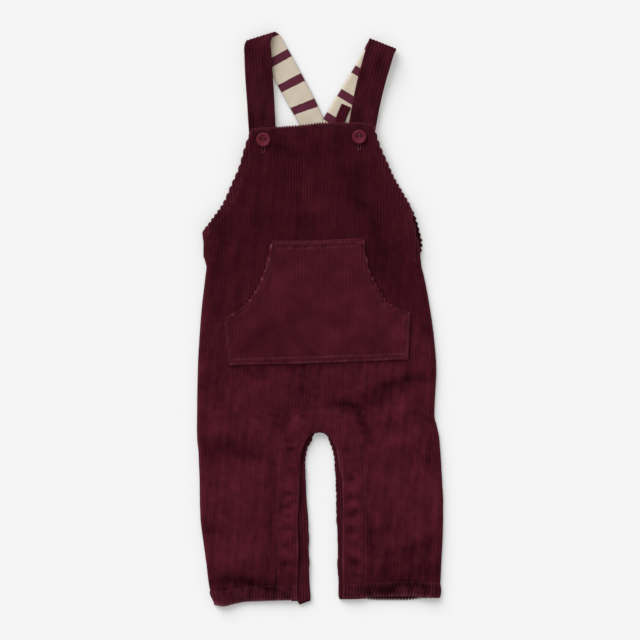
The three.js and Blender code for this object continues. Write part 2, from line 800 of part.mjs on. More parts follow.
// Where a button lies on the bib: its tilt, and its height clear of the wales under it
function buttonSeat(x, y) {
  const topOf = (dy) => lieOf(x, y + dy) + CLOTH + TURNED_HEM;
  const reach = BUTTON_RADIUS * BUTTON_REST;
  const tilt = Math.atan2(topOf(reach) - topOf(-reach), 2 * reach);
  const clear = [-reach, -reach / 2, 0, reach / 2, reach].map(
    (dy) => topOf(dy) - dy * Math.tan(tilt),
  );
  return { tilt, z: Math.max(...clear) + GAP };
}

const overalls = new THREE.Group();

function addPiece(name, geometry, material) {
  const mesh = new THREE.Mesh(geometry, material);
  mesh.name = name;
  overalls.add(mesh);
  return mesh;
}

addPiece("back", backGeometry(), CORDUROY);
addPiece("placket", placketGeometry(), CORDUROY);
addPiece("front", frontGeometry(), CORDUROY);
addPiece("pocket", pocketGeometry(), CORDUROY);

for (const { name, edges, side } of [
  { name: "strap_left", edges: LEFT_STRAP, side: -1 },
  { name: "strap_right", edges: RIGHT_STRAP, side: 1 },
]) {
  const [corduroy, jersey] = strapGeometries(edges, strapCutter(side));
  addPiece(name, corduroy, CORDUROY);
  addPiece(name + "_lining", jersey, STRIPED_JERSEY);
}

addPiece("hanging_loop", loopGeometry(), CORDUROY);

for (const { name, x, y } of BUTTONS) {
  const button = addPiece(name, buttonGeometry(), BUTTON_RESIN);
  const { tilt, z } = buttonSeat(x, y);
  button.position.set(x, y, z);
  button.rotation.x = tilt;
}

export default overalls;
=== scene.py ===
import math

import bpy
import numpy as np
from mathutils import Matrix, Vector
from mathutils.bvhtree import BVHTree


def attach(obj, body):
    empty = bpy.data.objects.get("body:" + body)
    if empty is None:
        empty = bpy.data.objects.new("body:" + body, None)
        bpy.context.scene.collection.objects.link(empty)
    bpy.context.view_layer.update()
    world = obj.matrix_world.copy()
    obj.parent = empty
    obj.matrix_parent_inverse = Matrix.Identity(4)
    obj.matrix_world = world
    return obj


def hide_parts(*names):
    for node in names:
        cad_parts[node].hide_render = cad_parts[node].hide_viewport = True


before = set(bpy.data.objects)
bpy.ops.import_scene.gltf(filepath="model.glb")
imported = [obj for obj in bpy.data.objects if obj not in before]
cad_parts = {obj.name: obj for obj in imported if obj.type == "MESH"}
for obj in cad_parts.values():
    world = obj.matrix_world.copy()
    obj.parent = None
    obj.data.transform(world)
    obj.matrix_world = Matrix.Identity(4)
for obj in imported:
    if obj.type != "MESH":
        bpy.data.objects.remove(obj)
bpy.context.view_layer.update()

MM = 0.001


# The surface, the light and the view
# A pale table that glows a little, as a light table does, in a white room, with one wide lamp up
# and to the left. The view is from straight above through a long lens, and each of its 640 pixels
# takes in 1.06 mm of the table.
PIXEL = 1.06
PICTURE_WIDTH = 640
VIEW_WIDTH = PICTURE_WIDTH * PIXEL
VIEW_MIDDLE_Y = -PIXEL
VIEW_REACH = 100
CLOTH_LEVEL = 7
LENS = 200
LAMP_WAY = (-0.55, 0.83, 0.66)
LAMP_SPREAD = 45
LAMP_STRENGTH = 2.75
ROOM_LIGHT = 0.578
TABLE_COLOUR = (0.688, 0.688, 0.688, 1)
TABLE_GLOW = 0.183
TABLE_SIZE = 8
TABLE_DROP = 0.2

stage = bpy.context.scene
stage.view_settings.view_transform = "Standard"
stage.view_settings.look = "None"

room = bpy.data.worlds.new("room")
room.use_nodes = True
room.node_tree.nodes["Background"].inputs["Color"].default_value = (1, 1, 1, 1)
room.node_tree.nodes["Background"].inputs["Strength"].default_value = ROOM_LIGHT
stage.world = room

lamp = bpy.data.objects.new("lamp", bpy.data.lights.new("lamp", "SUN"))
lamp.data.angle = math.radians(LAMP_SPREAD)
lamp.data.energy = LAMP_STRENGTH
lamp.location = LAMP_WAY
lamp.rotation_euler = (-Vector(LAMP_WAY)).to_track_quat("-Z", "Y").to_euler()
stage.collection.objects.link(lamp)

camera = bpy.data.objects.new("camera", bpy.data.cameras.new("camera"))
camera.data.lens = LENS
distance = VIEW_WIDTH * LENS / camera.data.sensor_width
camera.location = Vector((0, VIEW_MIDDLE_Y, distance + CLOTH_LEVEL)) * MM
camera.data.clip_end = VIEW_REACH
stage.collection.objects.link(camera)
stage.camera = camera

bpy.ops.mesh.primitive_plane_add(size=TABLE_SIZE, location=(0, 0, -TABLE_DROP * MM))
table = bpy.context.object
table.name = "table"


class Value:
    """A number in a finish's nodes, so that shader maths reads as an expression."""

    def __init__(self, finish, socket):
        self.finish = finish
        self.socket = socket

    def math(self, operation, *others):
        numbers = dict(enumerate((self, *others)))
        return self.finish.node("ShaderNodeMath", {"operation": operation}, numbers)

    def __add__(self, other):
        return self.math("ADD", other)

    def __radd__(self, other):
        return self.math("ADD", other)

    def __mul__(self, other):
        return self.math("MULTIPLY", other)

    def __rmul__(self, other):
        return self.math("MULTIPLY", other)

    def __sub__(self, other):
        return self.math("SUBTRACT", other)

    def __rsub__(self, other):
        numbers = {0: other, 1: self}
        return self.finish.node("ShaderNodeMath", {"operation": "SUBTRACT"}, numbers)

    def __truediv__(self, other):
        return self.math("DIVIDE", other)

    def __pow__(self, other):
        return self.math("POWER", other)

    def held(self, low=0, high=1):
        return self.math("MAXIMUM", low).math("MINIMUM", high)

    def step(self, low, high):
        numbers = {"Value": self, "From Min": low, "From Max": high}
        settings = {"interpolation_type": "SMOOTHSTEP"}
        return self.finish.node("ShaderNodeMapRange", settings, numbers)


class Finish:
    """One material, built from nodes."""

    def __init__(self, name):
        self.material = bpy.data.materials.new(name)
        self.material.use_nodes = True
        self.tree = self.material.node_tree
        self.tree.nodes.clear()

    def node(self, kind, settings=(), sockets=(), output=0):
        made = self.tree.nodes.new(kind)
        for key, value in dict(settings).items():
            setattr(made, key, value)
        for key, value in dict(sockets).items():
            if isinstance(value, Value):
                self.tree.links.new(value.socket, made.inputs[key])
            else:
                made.inputs[key].default_value = value
        return Value(self, made.outputs[output]) if made.outputs else None

    def place(self, per_x, per_y, per_z):
        """Places on the object in metres, times so many to the metre along each axis."""
        here = self.node("ShaderNodeTexCoord", output="Object")
        sockets = {0: here, 1: (per_x, per_y, per_z)}
        return self.node("ShaderNodeVectorMath", {"operation": "MULTIPLY"}, sockets)

    def noise(self, place, detail=2, roughness=0.5):
        sockets = {"Vector": place, "Scale": 1, "Detail": detail, "Roughness": roughness}
        return self.node("ShaderNodeTexNoise", {}, sockets)

    def attribute(self, name):
        return self.node("ShaderNodeAttribute", {"attribute_name": name}, output="Fac")

    def blend(self, share, first, second, kind="MIX"):
        settings = {"data_type": "RGBA", "blend_type": kind, "clamp_factor": True}
        return self.node("ShaderNodeMix", settings, {0: share, 6: first, 7: second}, 2)

    def surface(self, **sockets):
        named = {key.replace("_", " ").title(): value for key, value in sockets.items()}
        named = {key.replace("Ior", "IOR"): value for key, value in named.items()}
        shader = self.node("ShaderNodeBsdfPrincipled", {}, named)
        self.node("ShaderNodeOutputMaterial", {}, {"Surface": shader})
        return self.material

    def relief(self, height, depth, strength=1.0):
        sockets = {"Height": height, "Distance": depth * MM, "Strength": strength}
        return self.node("ShaderNodeBump", {}, sockets)


painted = Finish("table_top")
mottle = painted.noise(painted.place(3, 3, 3))
table_colour = painted.blend(mottle, TABLE_COLOUR, tuple(c * 0.995 for c in TABLE_COLOUR))
table_top = painted.surface(
    base_color=table_colour,
    roughness=0.9,
    emission_color=(1, 1, 1, 1),
    emission_strength=TABLE_GLOW,
)
table.data.materials.append(table_top)


# The back panel
# One cut of corduroy from the hems to just under the crossing of the straps. It lies flat on the
# surface, and what shows of it is its turned edge at the right armhole and at the right hem.
# The rib crests, and the hollows between them: darker partly for their thin pile and partly as painted
# shade
LIT_CREST_COLOUR = (0.066, 0.0086, 0.0160, 1)
SHADED_HOLLOW_COLOUR = (0.037, 0.0049, 0.0090, 1)
# Worn, paler pile, and painted highlights: the colour that the cloth is blended towards where it is
# marked worn and lit
WORN_AND_LIT_COLOUR = (0.122, 0.029, 0.044, 1)
IN_SHADE = -0.3
GROUND = 1.1
PILE = 0.8
CLOTH = GROUND + PILE
FINE = 6
BACK_THICK = 1.8
BACK_WALES = 80
BACK_LEG_WALES = 35
BACK_SIDES = [
    (-300, -111.5, 123.8),
    (-283, -115.2, 124.2),
    (-258, -118.7, 125.2),
    (-232, -122.7, 126.7),
    (-194, -125.2, 127.7),
    (-156, -126.2, 125.2),
    (-124, -127.7, 121.7),
    (-105, -127.7, 118.7),
    (-54, -127.7, 119.7),
    (-16, -125.2, 117.2),
    (10, -123.2, 113.7),
    (35, -120.7, 109.2),
    (60, -120.2, 103.7),
    (67, -120, 105),
    (75, -119.8, 108),
    (84, -119.5, 107.8),
]
BACK_TOP_EDGE = [
    (-119.5, 86),
    (-108, 101),
    (-90, 120),
    (-65, 150),
    (-45, 172),
    (-30, 180),
    (37, 180),
    (50, 170),
    (64, 152),
    (78, 136),
    (90, 124),
    (97, 117.5),
    (102, 105),
    (105.5, 92),
    (107.5, 84),
]
BACK_GAP = [
    (-300, -10.5, 19.6),
    (-266, -11.2, 19.3),
    (-213, -12.7, 18.3),
    (-171, -15.5, 17),
    (-150, -15.9, 15.4),
]
BACK_ARCH = {"top": -119.7, "foot": -150}
# How square the arch between the legs is on its left and on its right
ARCH_CURVE = (2, 2.6)
# Levels at which a column's place across the back is read for its upper edge and for its hem
UNDERARM = 84
HEM_LEVEL = -290
LEG_BLEND = 30
TOP_TOOTH = 3.2
SIDE_TOOTH = 2.6
SIDE_TOOTH_PITCH = 5.8
HEM_TOOTH = 2.4
BACK_HEM_STITCH = 16
RIB_DEPTH = 0.55
BACK_HEM = [
    (-128, -295.5),
    (0, -295.5),
    (34, -295.2),
    (62, -297.5),
    (90, -297.6),
    (112, -295.2),
    (128, -294.6),
]


def smooth(low, high, value):
    t = np.clip((value - low) / (high - low), 0, 1)
    return t * t * (3 - 2 * t)


def mix(a, b, share):
    return a + (b - a) * share


def between(table, at, column=1):
    """A column of a table at places between its rows, on a curve that never swings past them."""
    rows = np.array(table, float)
    x, y = rows[:, 0], rows[:, column]
    slope = np.diff(y) / np.diff(x)
    p, q = slope[:-1], slope[1:]
    middle = np.where(p * q > 0, 2 * p * q / np.where(p + q == 0, 1, p + q), 0)
    tangent = np.concatenate([slope[:1], middle, slope[-1:]])
    i = np.clip(np.searchsorted(x, at, "right") - 1, 0, len(x) - 2)
    width = x[i + 1] - x[i]
    t = np.clip((at - x[i]) / width, 0, 1)
    bend = tangent[i] * width * t * (1 - t) ** 2 - tangent[i + 1] * width * t * t * (1 - t)
    return y[i] * (1 - t) ** 2 * (1 + 2 * t) + y[i + 1] * t * t * (3 - 2 * t) + bend


def unrest(u, v, seed, waves=14):
    """Soft, even noise with features about one unit long and a spread of about one."""
    dice = np.random.default_rng(seed)
    total = 0
    for turn, pace, start in dice.uniform((0, 0.45, 0), (math.tau, 1.3, math.tau), (waves, 3)):
        total = total + np.sin(math.tau * pace * (u * math.cos(turn) + v * math.sin(turn)) + start)
    return total * math.sqrt(2 / waves)


def bell(away, width):
    """A soft mark that is whole where away is nothing and fades over a width."""
    return np.exp(-((away / width) ** 2))


def rounded(edge, radius):
    """How full a cloth is near its edge, which is rounded over with a radius."""
    return np.sqrt(1 - (1 - np.clip(edge / radius, 0, 1)) ** 2)


def pile_at(wale):
    """How far the pile stands, from none to full, at places counted in wales."""
    return np.abs(np.sin(math.pi * wale)) ** 0.72


def levels(start, end, near_start, near_end, count):
    """Heights down each column from its start to its end, with closer ones near both."""
    length = start - end
    head, tail = np.array(near_start, float)[:, None], np.array(near_end, float)[:, None]
    squeeze = np.minimum(1, length / (1.3 * (head[-1] + tail[-1]) + 1e-6))
    head, tail = head * squeeze, tail * squeeze
    share = np.linspace(0, 1, count + 2)[1:-1, None]
    middle = head[-1] + (length - head[-1] - tail[-1]) * share
    return start - np.concatenate([head, middle, length - tail[::-1]])


def mesh_of(name, points, faces, finish, marks=()):
    """A smooth mesh from places in millimetres, with a number at each point for each mark."""
    flat = np.array(sorted({i for face in faces for i in face}))
    number = np.full(len(points), -1)
    number[flat] = np.arange(len(flat))
    mesh = bpy.data.meshes.new(name)
    mesh.from_pydata((points[flat] * MM).tolist(), [], [number[list(f)].tolist() for f in faces])
    mesh.polygons.foreach_set("use_smooth", [True] * len(mesh.polygons))
    for key, values in dict(marks).items():
        layer = mesh.attributes.new(key, "FLOAT", "POINT")
        layer.data.foreach_set("value", np.asarray(values, np.float32)[flat])
    mesh.materials.append(finish)
    made = bpy.data.objects.new(name, mesh)
    stage.collection.objects.link(made)
    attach(made, "root")
    return made


def shell(name, outer, inner, finish, outer_marks, inner_marks, present=None):
    """A closed wall of cloth between a fine grid of outer points and a coarser inner one.

    Rows run down a piece and columns across it. present says which coarse spaces have cloth.
    """
    rows, columns = outer.shape[:2]
    keys = inner.shape[1]
    every = (columns - 1) // (keys - 1)
    if present is None:
        present = np.ones((rows - 1, keys - 1), bool)
    o = np.arange(rows * columns).reshape(rows, columns)
    n = rows * columns + np.arange(rows * keys).reshape(rows, keys)
    fine = np.repeat(present, every, axis=1)
    up = np.stack([o[:-1, :-1], o[1:, :-1], o[1:, 1:], o[:-1, 1:]], -1)[fine]
    down = np.stack([n[:-1, :-1], n[:-1, 1:], n[1:, 1:], n[1:, :-1]], -1)[present]
    faces = up.tolist() + down.tolist()

    def rim(run, first, last):
        half = len(run) // 2
        for i in range(len(run) - 1):
            faces.append([run[i], run[i + 1], first if i < half else last])
        faces.append([run[half], last, first])

    padded = np.pad(present, 1)
    for k, m in zip(*np.nonzero(present)):
        a, b = m * every, (m + 1) * every
        if not padded[k, m + 1]:
            rim(o[k, a : b + 1].tolist(), n[k, m], n[k, m + 1])
        if not padded[k + 2, m + 1]:
            rim(o[k + 1, a : b + 1][::-1].tolist(), n[k + 1, m + 1], n[k + 1, m])
        if not padded[k + 1, m]:
            faces.append([o[k + 1, a], o[k, a], n[k, m], n[k + 1, m]])
        if not padded[k + 1, m + 2]:
            faces.append([o[k, b], o[k + 1, b], n[k + 1, m + 1], n[k, m + 1]])
    points = np.concatenate([outer.reshape(-1, 3), inner.reshape(-1, 3)])
    marks = {}
    for key, values in outer_marks.items():
        inside = np.broadcast_to(inner_marks[key], n.shape)
        marks[key] = np.concatenate([np.broadcast_to(values, o.shape).ravel(), inside.ravel()])
    return mesh_of(name, points, faces, finish, marks)


def corduroy_finish(name):
    """Cut pile, fuller on the ribs and thin between them, with painted shade between them; paler where
    brushed up and where worn; with painted highlights on edges and painted light and shade on folds.
    """
    cloth = Finish(name)
    crest = cloth.attribute("crest")
    worn_and_lit = cloth.attribute("worn_and_lit")
    nap_and_shade = cloth.attribute("nap_and_shade")
    tufts = cloth.noise(cloth.place(800, 240, 800), 3, 0.6)
    strokes = cloth.noise(cloth.place(130, 105, 130), 2, 0.55)
    patches = cloth.noise(cloth.place(46, 50, 46), 3, 0.5)
    fluff = cloth.noise(cloth.place(3000, 1900, 3000), 2, 0.6)
    flattened = cloth.noise(cloth.place(36, 30, 36), 2, 0.5)
    soft = (0.62 + nap_and_shade * 0.8 + (flattened - 0.5) * 1.2).held(0.05, 0.92)
    ribbed = (crest ** 1.15 * (1 + (tufts - 0.5) * 0.5)).held()
    lit = ribbed * (1 - soft) + soft * 0.66
    # Painted shade in the hollows between the ribs, with the thin pile's own darker colour
    colour = cloth.blend(lit, SHADED_HOLLOW_COLOUR, LIT_CREST_COLOUR)
    # Paler towards worn pile and painted highlights
    colour = cloth.blend(worn_and_lit.held(), colour, WORN_AND_LIT_COLOUR)
    mottled = (strokes - 0.5) * 0.22 + (patches - 0.5) * 0.5
    # Lighter or darker by the pile's lie, by painted light and shade of folds and by random mottling
    shade = (1 + nap_and_shade + mottled * (1 + nap_and_shade)).held(0.2, 2.5)
    colour = cloth.node("ShaderNodeVectorMath", {"operation": "SCALE"}, {0: colour, "Scale": shade})
    roughened = cloth.relief(fluff * 0.35 + tufts * 0.65, 0.3, 0.5)
    return cloth.surface(
        base_color=colour,
        roughness=0.95,
        normal=roughened,
        sheen_weight=0.22,
        sheen_roughness=0.4,
        sheen_tint=(1, 0.2, 0.3, 1),
        specular_ior_level=0.0,
    )


corduroy = corduroy_finish("corduroy")


def arch_height(x, left, right, top, foot):
    """Height of the arch between the legs, which reaches its foot at left and at right."""
    across = np.clip((x - (left + right) / 2) / ((right - left) / 2), -1, 1)
    square = np.where(across < 0, ARCH_CURVE[0], ARCH_CURVE[1])
    return mix(top, foot, 1 - (1 - abs(across) ** square) ** (1 / square))


def back_x(wale, y):
    """Places across the back panel, counted in wales, at heights down it."""
    left = between(BACK_SIDES, y, 1)
    right = between(BACK_SIDES, y, 2)
    gap_left = between(BACK_GAP, y, 1)
    gap_right = between(BACK_GAP, y, 2)
    whole = mix(left, right, wale / BACK_WALES)
    left_leg = mix(left, gap_left, wale / BACK_LEG_WALES)
    share = (wale - BACK_WALES + BACK_LEG_WALES) / BACK_LEG_WALES
    right_leg = mix(gap_right, right, share)
    leg = np.where(wale < BACK_WALES / 2, left_leg, right_leg)
    return mix(whole, leg, smooth(BACK_ARCH["foot"] + LEG_BLEND, BACK_ARCH["foot"], y))


wale = np.arange(BACK_WALES * FINE + 1) / FINE
between_legs = (wale > BACK_LEG_WALES) & (wale < BACK_WALES - BACK_LEG_WALES)
teeth = pile_at(wale)
top = between(BACK_TOP_EDGE, back_x(wale, np.full_like(wale, UNDERARM)))
top = top + TOP_TOOTH * (teeth - 0.6) * (1 - smooth(70, 74, wale))
foot_x = back_x(wale, np.full_like(wale, BACK_ARCH["foot"]))
gap_edges = [between(BACK_GAP, BACK_ARCH["foot"], column) for column in (1, 2)]
arch = arch_height(foot_x, *gap_edges, BACK_ARCH["top"], BACK_ARCH["foot"])
foot = np.where(between_legs, arch, BACK_ARCH["foot"])
hem = between(BACK_HEM, back_x(wale, np.full_like(wale, HEM_LEVEL))) - HEM_TOOTH * (teeth - 0.5)
near_top = [0, 0.3, 0.9, 2, *range(3, 36)]
upper = levels(top, foot, near_top, [0, 0.5, 2], 24)
near_hem = [0, 0.3, 0.9, 2, 8, 15, 16, 17]
lower = levels(foot, hem, [0], near_hem, 12)[1:]
y = np.concatenate([upper, lower])
x = back_x(wale, y) + 0.3 * unrest(wale / 7, y / 45, 3)
side_teeth = smooth(73, 79, wale) * smooth(62, 68, y)
x = x + side_teeth * SIDE_TOOTH * (np.abs(np.sin(math.pi * y / SIDE_TOOTH_PITCH)) - 0.5)
full = rounded(np.minimum(top - y, y - hem), 1.2)
stitched = bell(y - hem - BACK_HEM_STITCH, 0.8)
height = BACK_THICK - RIB_DEPTH * (1 - teeth * (1 - 0.6 * stitched)) - 0.5 * (1 - full)
outer = np.stack([x, y, height], -1)
below = np.stack([x, y, RIB_DEPTH * (1 - teeth) + 0.5 * (1 - full)], -1)
spaces = np.ones((len(y) - 1, BACK_WALES * FINE), bool)
spaces[len(upper) - 1 :] = ~(between_legs[:-1] | between_legs[1:])
back_marks = {"crest": teeth * (0.5 + 0.5 * full), "worn_and_lit": 0.0, "nap_and_shade": IN_SHADE}
back = shell("back_cloth", outer, below, corduroy, back_marks, back_marks, spaces)
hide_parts("back")


# The inner-leg placket
# A strip of corduroy sewn round the back's inner legs, from one hem over the crotch to the other.
# The front's inner edges lie on it, and the rest of it shows in the gap between the legs.
PLACKET_WALES = 6
PLACKET_WIDTH = 20
PLACKET_LIFT = 2.1
PUFF_PITCH = 5.6
GAP_EDGE = [
    (-10.5, -299),
    (-11.2, -266),
    (-12.7, -213),
    (-15.4, -175),
    (-15.8, -153),
    (-13, -138),
    (-8.8, -129.5),
    (-7.2, -123),
    (0, -120),
    (8, -122.2),
    (10, -129.5),
    (12.7, -137),
    (15, -150),
    (16.6, -175),
    (17.9, -213),
    (19.5, -266),
    (19.9, -297.5),
]


def spline(points, count):
    """Evenly counted places on a smooth curve through points, and the way it runs at each."""
    p = np.array(points, float)
    p = np.concatenate([[2 * p[0] - p[1]], p, [2 * p[-1] - p[-2]]])
    at = np.linspace(0, len(points) - 1, count)
    i = np.minimum(at.astype(int), len(points) - 2)
    t = (at - i)[:, None]
    gap = np.linalg.norm(np.diff(p, axis=0), axis=1)[:, None] ** 0.5
    a, b, c, d = p[i], p[i + 1], p[i + 2], p[i + 3]
    g0, g1, g2 = gap[i], gap[i + 1], gap[i + 2]
    m1 = ((b - a) / g0 - (c - a) / (g0 + g1) + (c - b) / g1) * g1
    m2 = ((c - b) / g1 - (d - b) / (g1 + g2) + (d - c) / g2) * g1
    q2 = -3 * b + 3 * c - 2 * m1 - m2
    q3 = 2 * b - 2 * c + m1 + m2
    place = b + m1 * t + q2 * t**2 + q3 * t**3
    ahead = m1 + 2 * q2 * t + 3 * q3 * t**2
    return place, ahead / np.linalg.norm(ahead, axis=1)[:, None]


def run_along(line):
    """How far along a line each of its points is."""
    return np.concatenate([[0], np.cumsum(np.linalg.norm(np.diff(line, axis=0), axis=1))])


near, ahead = spline(GAP_EDGE, 190)
near, ahead = near[::-1], ahead[::-1]
away = np.stack([-ahead[:, 1], ahead[:, 0]], -1)
wale = np.arange(PLACKET_WALES * FINE + 1) / FINE
share = 1 - wale / PLACKET_WALES
run = run_along(near)[:, None]
puffs = pile_at(run / PUFF_PITCH) - 0.6 + 0.35 * unrest(run / 24, 0, 6)
wavy = puffs * (1 - smooth(0, 0.3, share))
flat = near[:, None] + away[:, None] * (PLACKET_WIDTH * share - wavy)[..., None]
last = 1 - smooth(0, 14, run[-1] - run)
flat[..., 1] -= 7 * share * (1 - smooth(0.55, 0.68, share)) * last
ends = np.minimum(run, run[-1] - run)
full = rounded(np.minimum(ends, PLACKET_WIDTH * (1 - share)), 1.4)
ribs = pile_at(wale) * (1 + 0.12 * unrest(wale / 3, run / 9, 5))
near_side = share < 0.7
lift = PLACKET_LIFT + 0.6 + 0.3 * unrest(0, run / 30, 8) * near_side
height = lift + (0.6 + 0.75 * ribs) * np.maximum(full, 0.25)
outer = np.concatenate([flat, height[..., None]], -1)
keys = slice(None, None, FINE)
level = np.broadcast_to(PLACKET_LIFT, flat[:, keys].shape[:2])
inner = np.concatenate([flat[:, keys], level[..., None]], -1)
# The strip is painted darker, as painted shade from the front's edge over it, and its rib crests
# paler, as painted highlights
marks = {"crest": np.clip(ribs * (0.6 + 0.4 * full), 0, 1), "worn_and_lit": 0.13 * ribs**2, "nap_and_shade": -0.2}
HIDDEN = {"crest": 0.35, "worn_and_lit": 0.0, "nap_and_shade": 0.0}
placket = shell("placket_cloth", outer, inner, corduroy, marks, HIDDEN)
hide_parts("placket")


# The front
# One cut of corduroy: bib, body and both leg fronts. Its sides roll down to the surface over the
# seams, its upper and lower edges are turned under and topstitched, and it lies in soft folds.
WALES = 80
LEFT_LEG = 33
RIGHT_LEG = 47
SIDES_TOP = 100
SEAM_TOP = 60
HIP = -90
BODY_FOOT = -112
CROTCH = {"top": -120.4, "foot": -171}
SIDES = [
    (-302, -112.9, 127.5),
    (-283, -118.1, 128.1),
    (-258, -121.2, 129.2),
    (-232, -124.8, 130.6),
    (-213, -127.2, 131),
    (-194, -127.9, 131.1),
    (-171, -128.2, 129.9),
    (-156, -128.8, 129.1),
    (-140, -129.4, 128.1),
    (-126, -130.9, 126.9),
    (-112, -131, 123.9),
    (-103, -130.9, 121.7),
    (-86, -130.7, 122.3),
    (-54, -130.1, 123.8),
    (-16, -128.1, 120.9),
    (10, -126, 117.3),
    (35, -123.2, 112.8),
    (46, -121.9, 110.5),
    (55, -120.8, 108.2),
    (61, -122.1, 106.9),
    (68, -124, 106.3),
    (84, -123.8, 106.5),
    (100, -123.6, 106.5),
]
# The ribs run straight past the small dents in the sides, as if the sides were these
RIBS_RUN = [
    (-302, -113, 127.5),
    (-232, -125, 130.6),
    (-171, -128.2, 129.9),
    (-100, -130.9, 122.5),
    (-54, -130.1, 123.5),
    (10, -126, 117.3),
    (35, -123.4, 113),
    (100, -121, 106.5),
]
LEFT_ARMHOLE = [
    (-122.8, 88.5),
    (-121.4, 95),
    (-118.4, 100),
    (-111, 111),
    (-102, 124),
    (-96, 137),
    (-88, 156),
    (-81.5, 175),
    (-77.5, 187.5),
    (-73, 201.5),
]
BIB_TOP = [(-73, 201.5), (-46, 203.5), (-18, 205.5), (5, 208), (34, 208), (56, 207)]
RIGHT_ARMHOLE = [
    (56, 207),
    (60.5, 194),
    (65, 181.5),
    (75.5, 156),
    (90, 130.5),
    (96.5, 117.5),
    (101, 94.5),
    (103.5, 80.5),
    (107, 66),
]
INNER_LEG_AT_HEM = (-23.5, 24)
LEG_SPREAD = 60
LEFT_HEM = [(-114, -303.4), (-106, -304.8), (-93, -302.2), (-78, -299.9), (-60, -299.2), (-23, -298)]
RIGHT_HEM = [(23, -297), (42, -297), (60, -295), (95, -294.2), (115, -295.6), (127, -296)]
SEAM_ROLL = 5.2
SEAM_FOOT = 0.4
BODY_LIE = 5.4
LEG_LIE = 5.8
BIB_LIE = 6.6
BIB_EDGE_LIE = 7.4
ARMHOLE_LIE = 2.6
LOWEST_LIE = 2.3
PLACKET_LIE = 4.4
HEM_LIE = 3.4
HEM_DROOP = 26
DENT_REACH = 26
# Each fold by its middle, half length, half width, turn from +X in degrees, and rise
FOLDS = [
    (27, 131, 60, 15, -68, 2.9),
    (62, 98, 55, 13, -65, -1.8),
    (-42, 180, 26, 7, 0, 1.6),
    (4, 112, 34, 9, 4, 2),
    (-84, 84, 34, 13, 72, 2.1),
    (-74, -56, 26, 7, 3, -1.7),
    (-80, -84, 24, 12, 35, 3.1),
    (-110, -62, 18, 9, -30, -1.8),
    (69, -64, 46, 11, 19, 2.3),
    (80, -86, 46, 8, 22, -1.7),
    (83, -99, 22, 11, 28, 2.9),
    (42, -108, 20, 12, -52, -1.9),
    (-31, -96, 20, 7, 74, -1.6),
    (-101, -125, 34, 9, -6, 2.9),
    (-99, -144, 34, 9, -6, -2.1),
    (-108, -222, 20, 9, -35, -2.1),
    (90, -130, 26, 11, 30, 2.6),
    (-78, -254, 46, 15, 5, 3.9),
    (92, -246, 38, 13, 24, 3.9),
    (60, -190, 50, 18, 80, 1.8),
]
CREASES = [
    (-80, -277, 42, 5, 2, -1.5),
    (85, -283, 44, 4, 2, -1.0),
    (91, -244, 30, 5, 14, -0.9),
    (52, -230, 46, 4, 90, -0.6),
    (-58, 168, 16, 4, 8, -0.6),
    (-90, 128, 22, 4, 62, 0.7),
    (-104, 96, 16, 4, 50, -0.6),
    (-20, 92, 26, 4, 3, -0.5),
    (70, 130, 22, 4, -58, 0.7),
    (88, 72, 24, 4, -70, 0.6),
    (-112, 20, 30, 4, 84, 0.6),
    (-70, -70, 22, 3.5, 12, 0.6),
    (-20, -72, 30, 4, -4, 0.5),
    (-112, -100, 16, 3.5, 20, -0.6),
    (-50, -112, 26, 4, 60, 0.6),
    (60, -120, 26, 3.5, 30, 0.7),
    (104, -112, 18, 3.5, 36, -0.7),
    (-64, -150, 22, 3.5, -12, 0.6),
    (-110, -166, 14, 3.5, 18, 0.5),
    (-92, -192, 20, 4, 32, -0.5),
    (-60, -228, 22, 4, -10, 0.6),
    (-96, -236, 22, 3.5, 16, 0.7),
    (48, -150, 22, 3.5, 72, -0.5),
    (98, -168, 22, 4, -24, 0.6),
    (72, -214, 24, 3.5, 20, 0.6),
    (106, -226, 20, 3.5, 34, -0.7),
    (66, -262, 22, 3.5, 12, 0.6),
]
# Short puckers in the strip round the inner legs, laid out like the folds
PUCKERS = [
    (-31, -128.5, 7, 2.2, 10, -0.9),
    (-31.5, -132.8, 7, 2, 10, 0.6),
    (-31, -137.5, 7, 2.2, 8, -0.8),
    (-30, -160, 5, 2, 5, -0.4),
    (-32, -178, 7, 3.5, 0, 0.6),
    (-32.5, -185, 7, 2.6, 22, -1.0),
    (-34, -191, 7, 2.2, 22, 0.8),
    (-34, -198, 7, 3, 26, -1.1),
    (-33, -204, 7, 2.4, 12, 0.7),
    (-33, -209, 5, 1.8, 10, -0.5),
    (-35, -214.5, 7, 2.4, 0, 0.7),
    (-35, -221, 7, 2.6, -14, -1.0),
    (-35, -229, 7, 4, 4, 0.6),
    (-35, -239, 7, 2.6, 10, -0.9),
    (-36, -249, 7, 4, 0, 0.6),
    (-37, -259, 7, 2.8, 4, -1.1),
    (-34, -271, 6, 2.4, 0, -0.7),
    (28.6, -138.9, 6, 2.2, -10, -0.8),
    (30, -152, 6, 2.2, 10, -0.5),
    (33, -170, 6, 2.2, 6, -0.6),
    (34, -179, 6, 3, 8, 0.6),
    (35, -188.7, 6.5, 3, 14, -1.3),
    (35, -197, 6.5, 2.6, 10, 0.7),
    (35, -205.6, 6.5, 3, 8, -1.3),
    (35, -214.5, 6.5, 2.8, 4, 0.7),
    (35, -223.7, 6.5, 3, 0, -1.3),
    (36, -232, 6, 2.6, 4, 0.5),
    (36, -241, 6, 2.2, 6, -0.6),
    (37, -249, 6, 2.6, 6, 0.5),
    (37.1, -258.6, 6.5, 2.8, 10, -1.2),
    (36, -272, 6, 2.4, 0, -0.7),
]
# How the front's colour is scaled down its length, from below the bib's edge to the hems
FRONT_TONE_DOWN = [
    (-305, 0.76),
    (-290, 0.8),
    (-272, 0.93),
    (-240, 1),
    (-150, 1.015),
    (-100, 0.965),
    (-60, 0.95),
    (-20, 0.84),
    (40, 0.785),
    (78, 0.72),
    (210, 0.71),
]
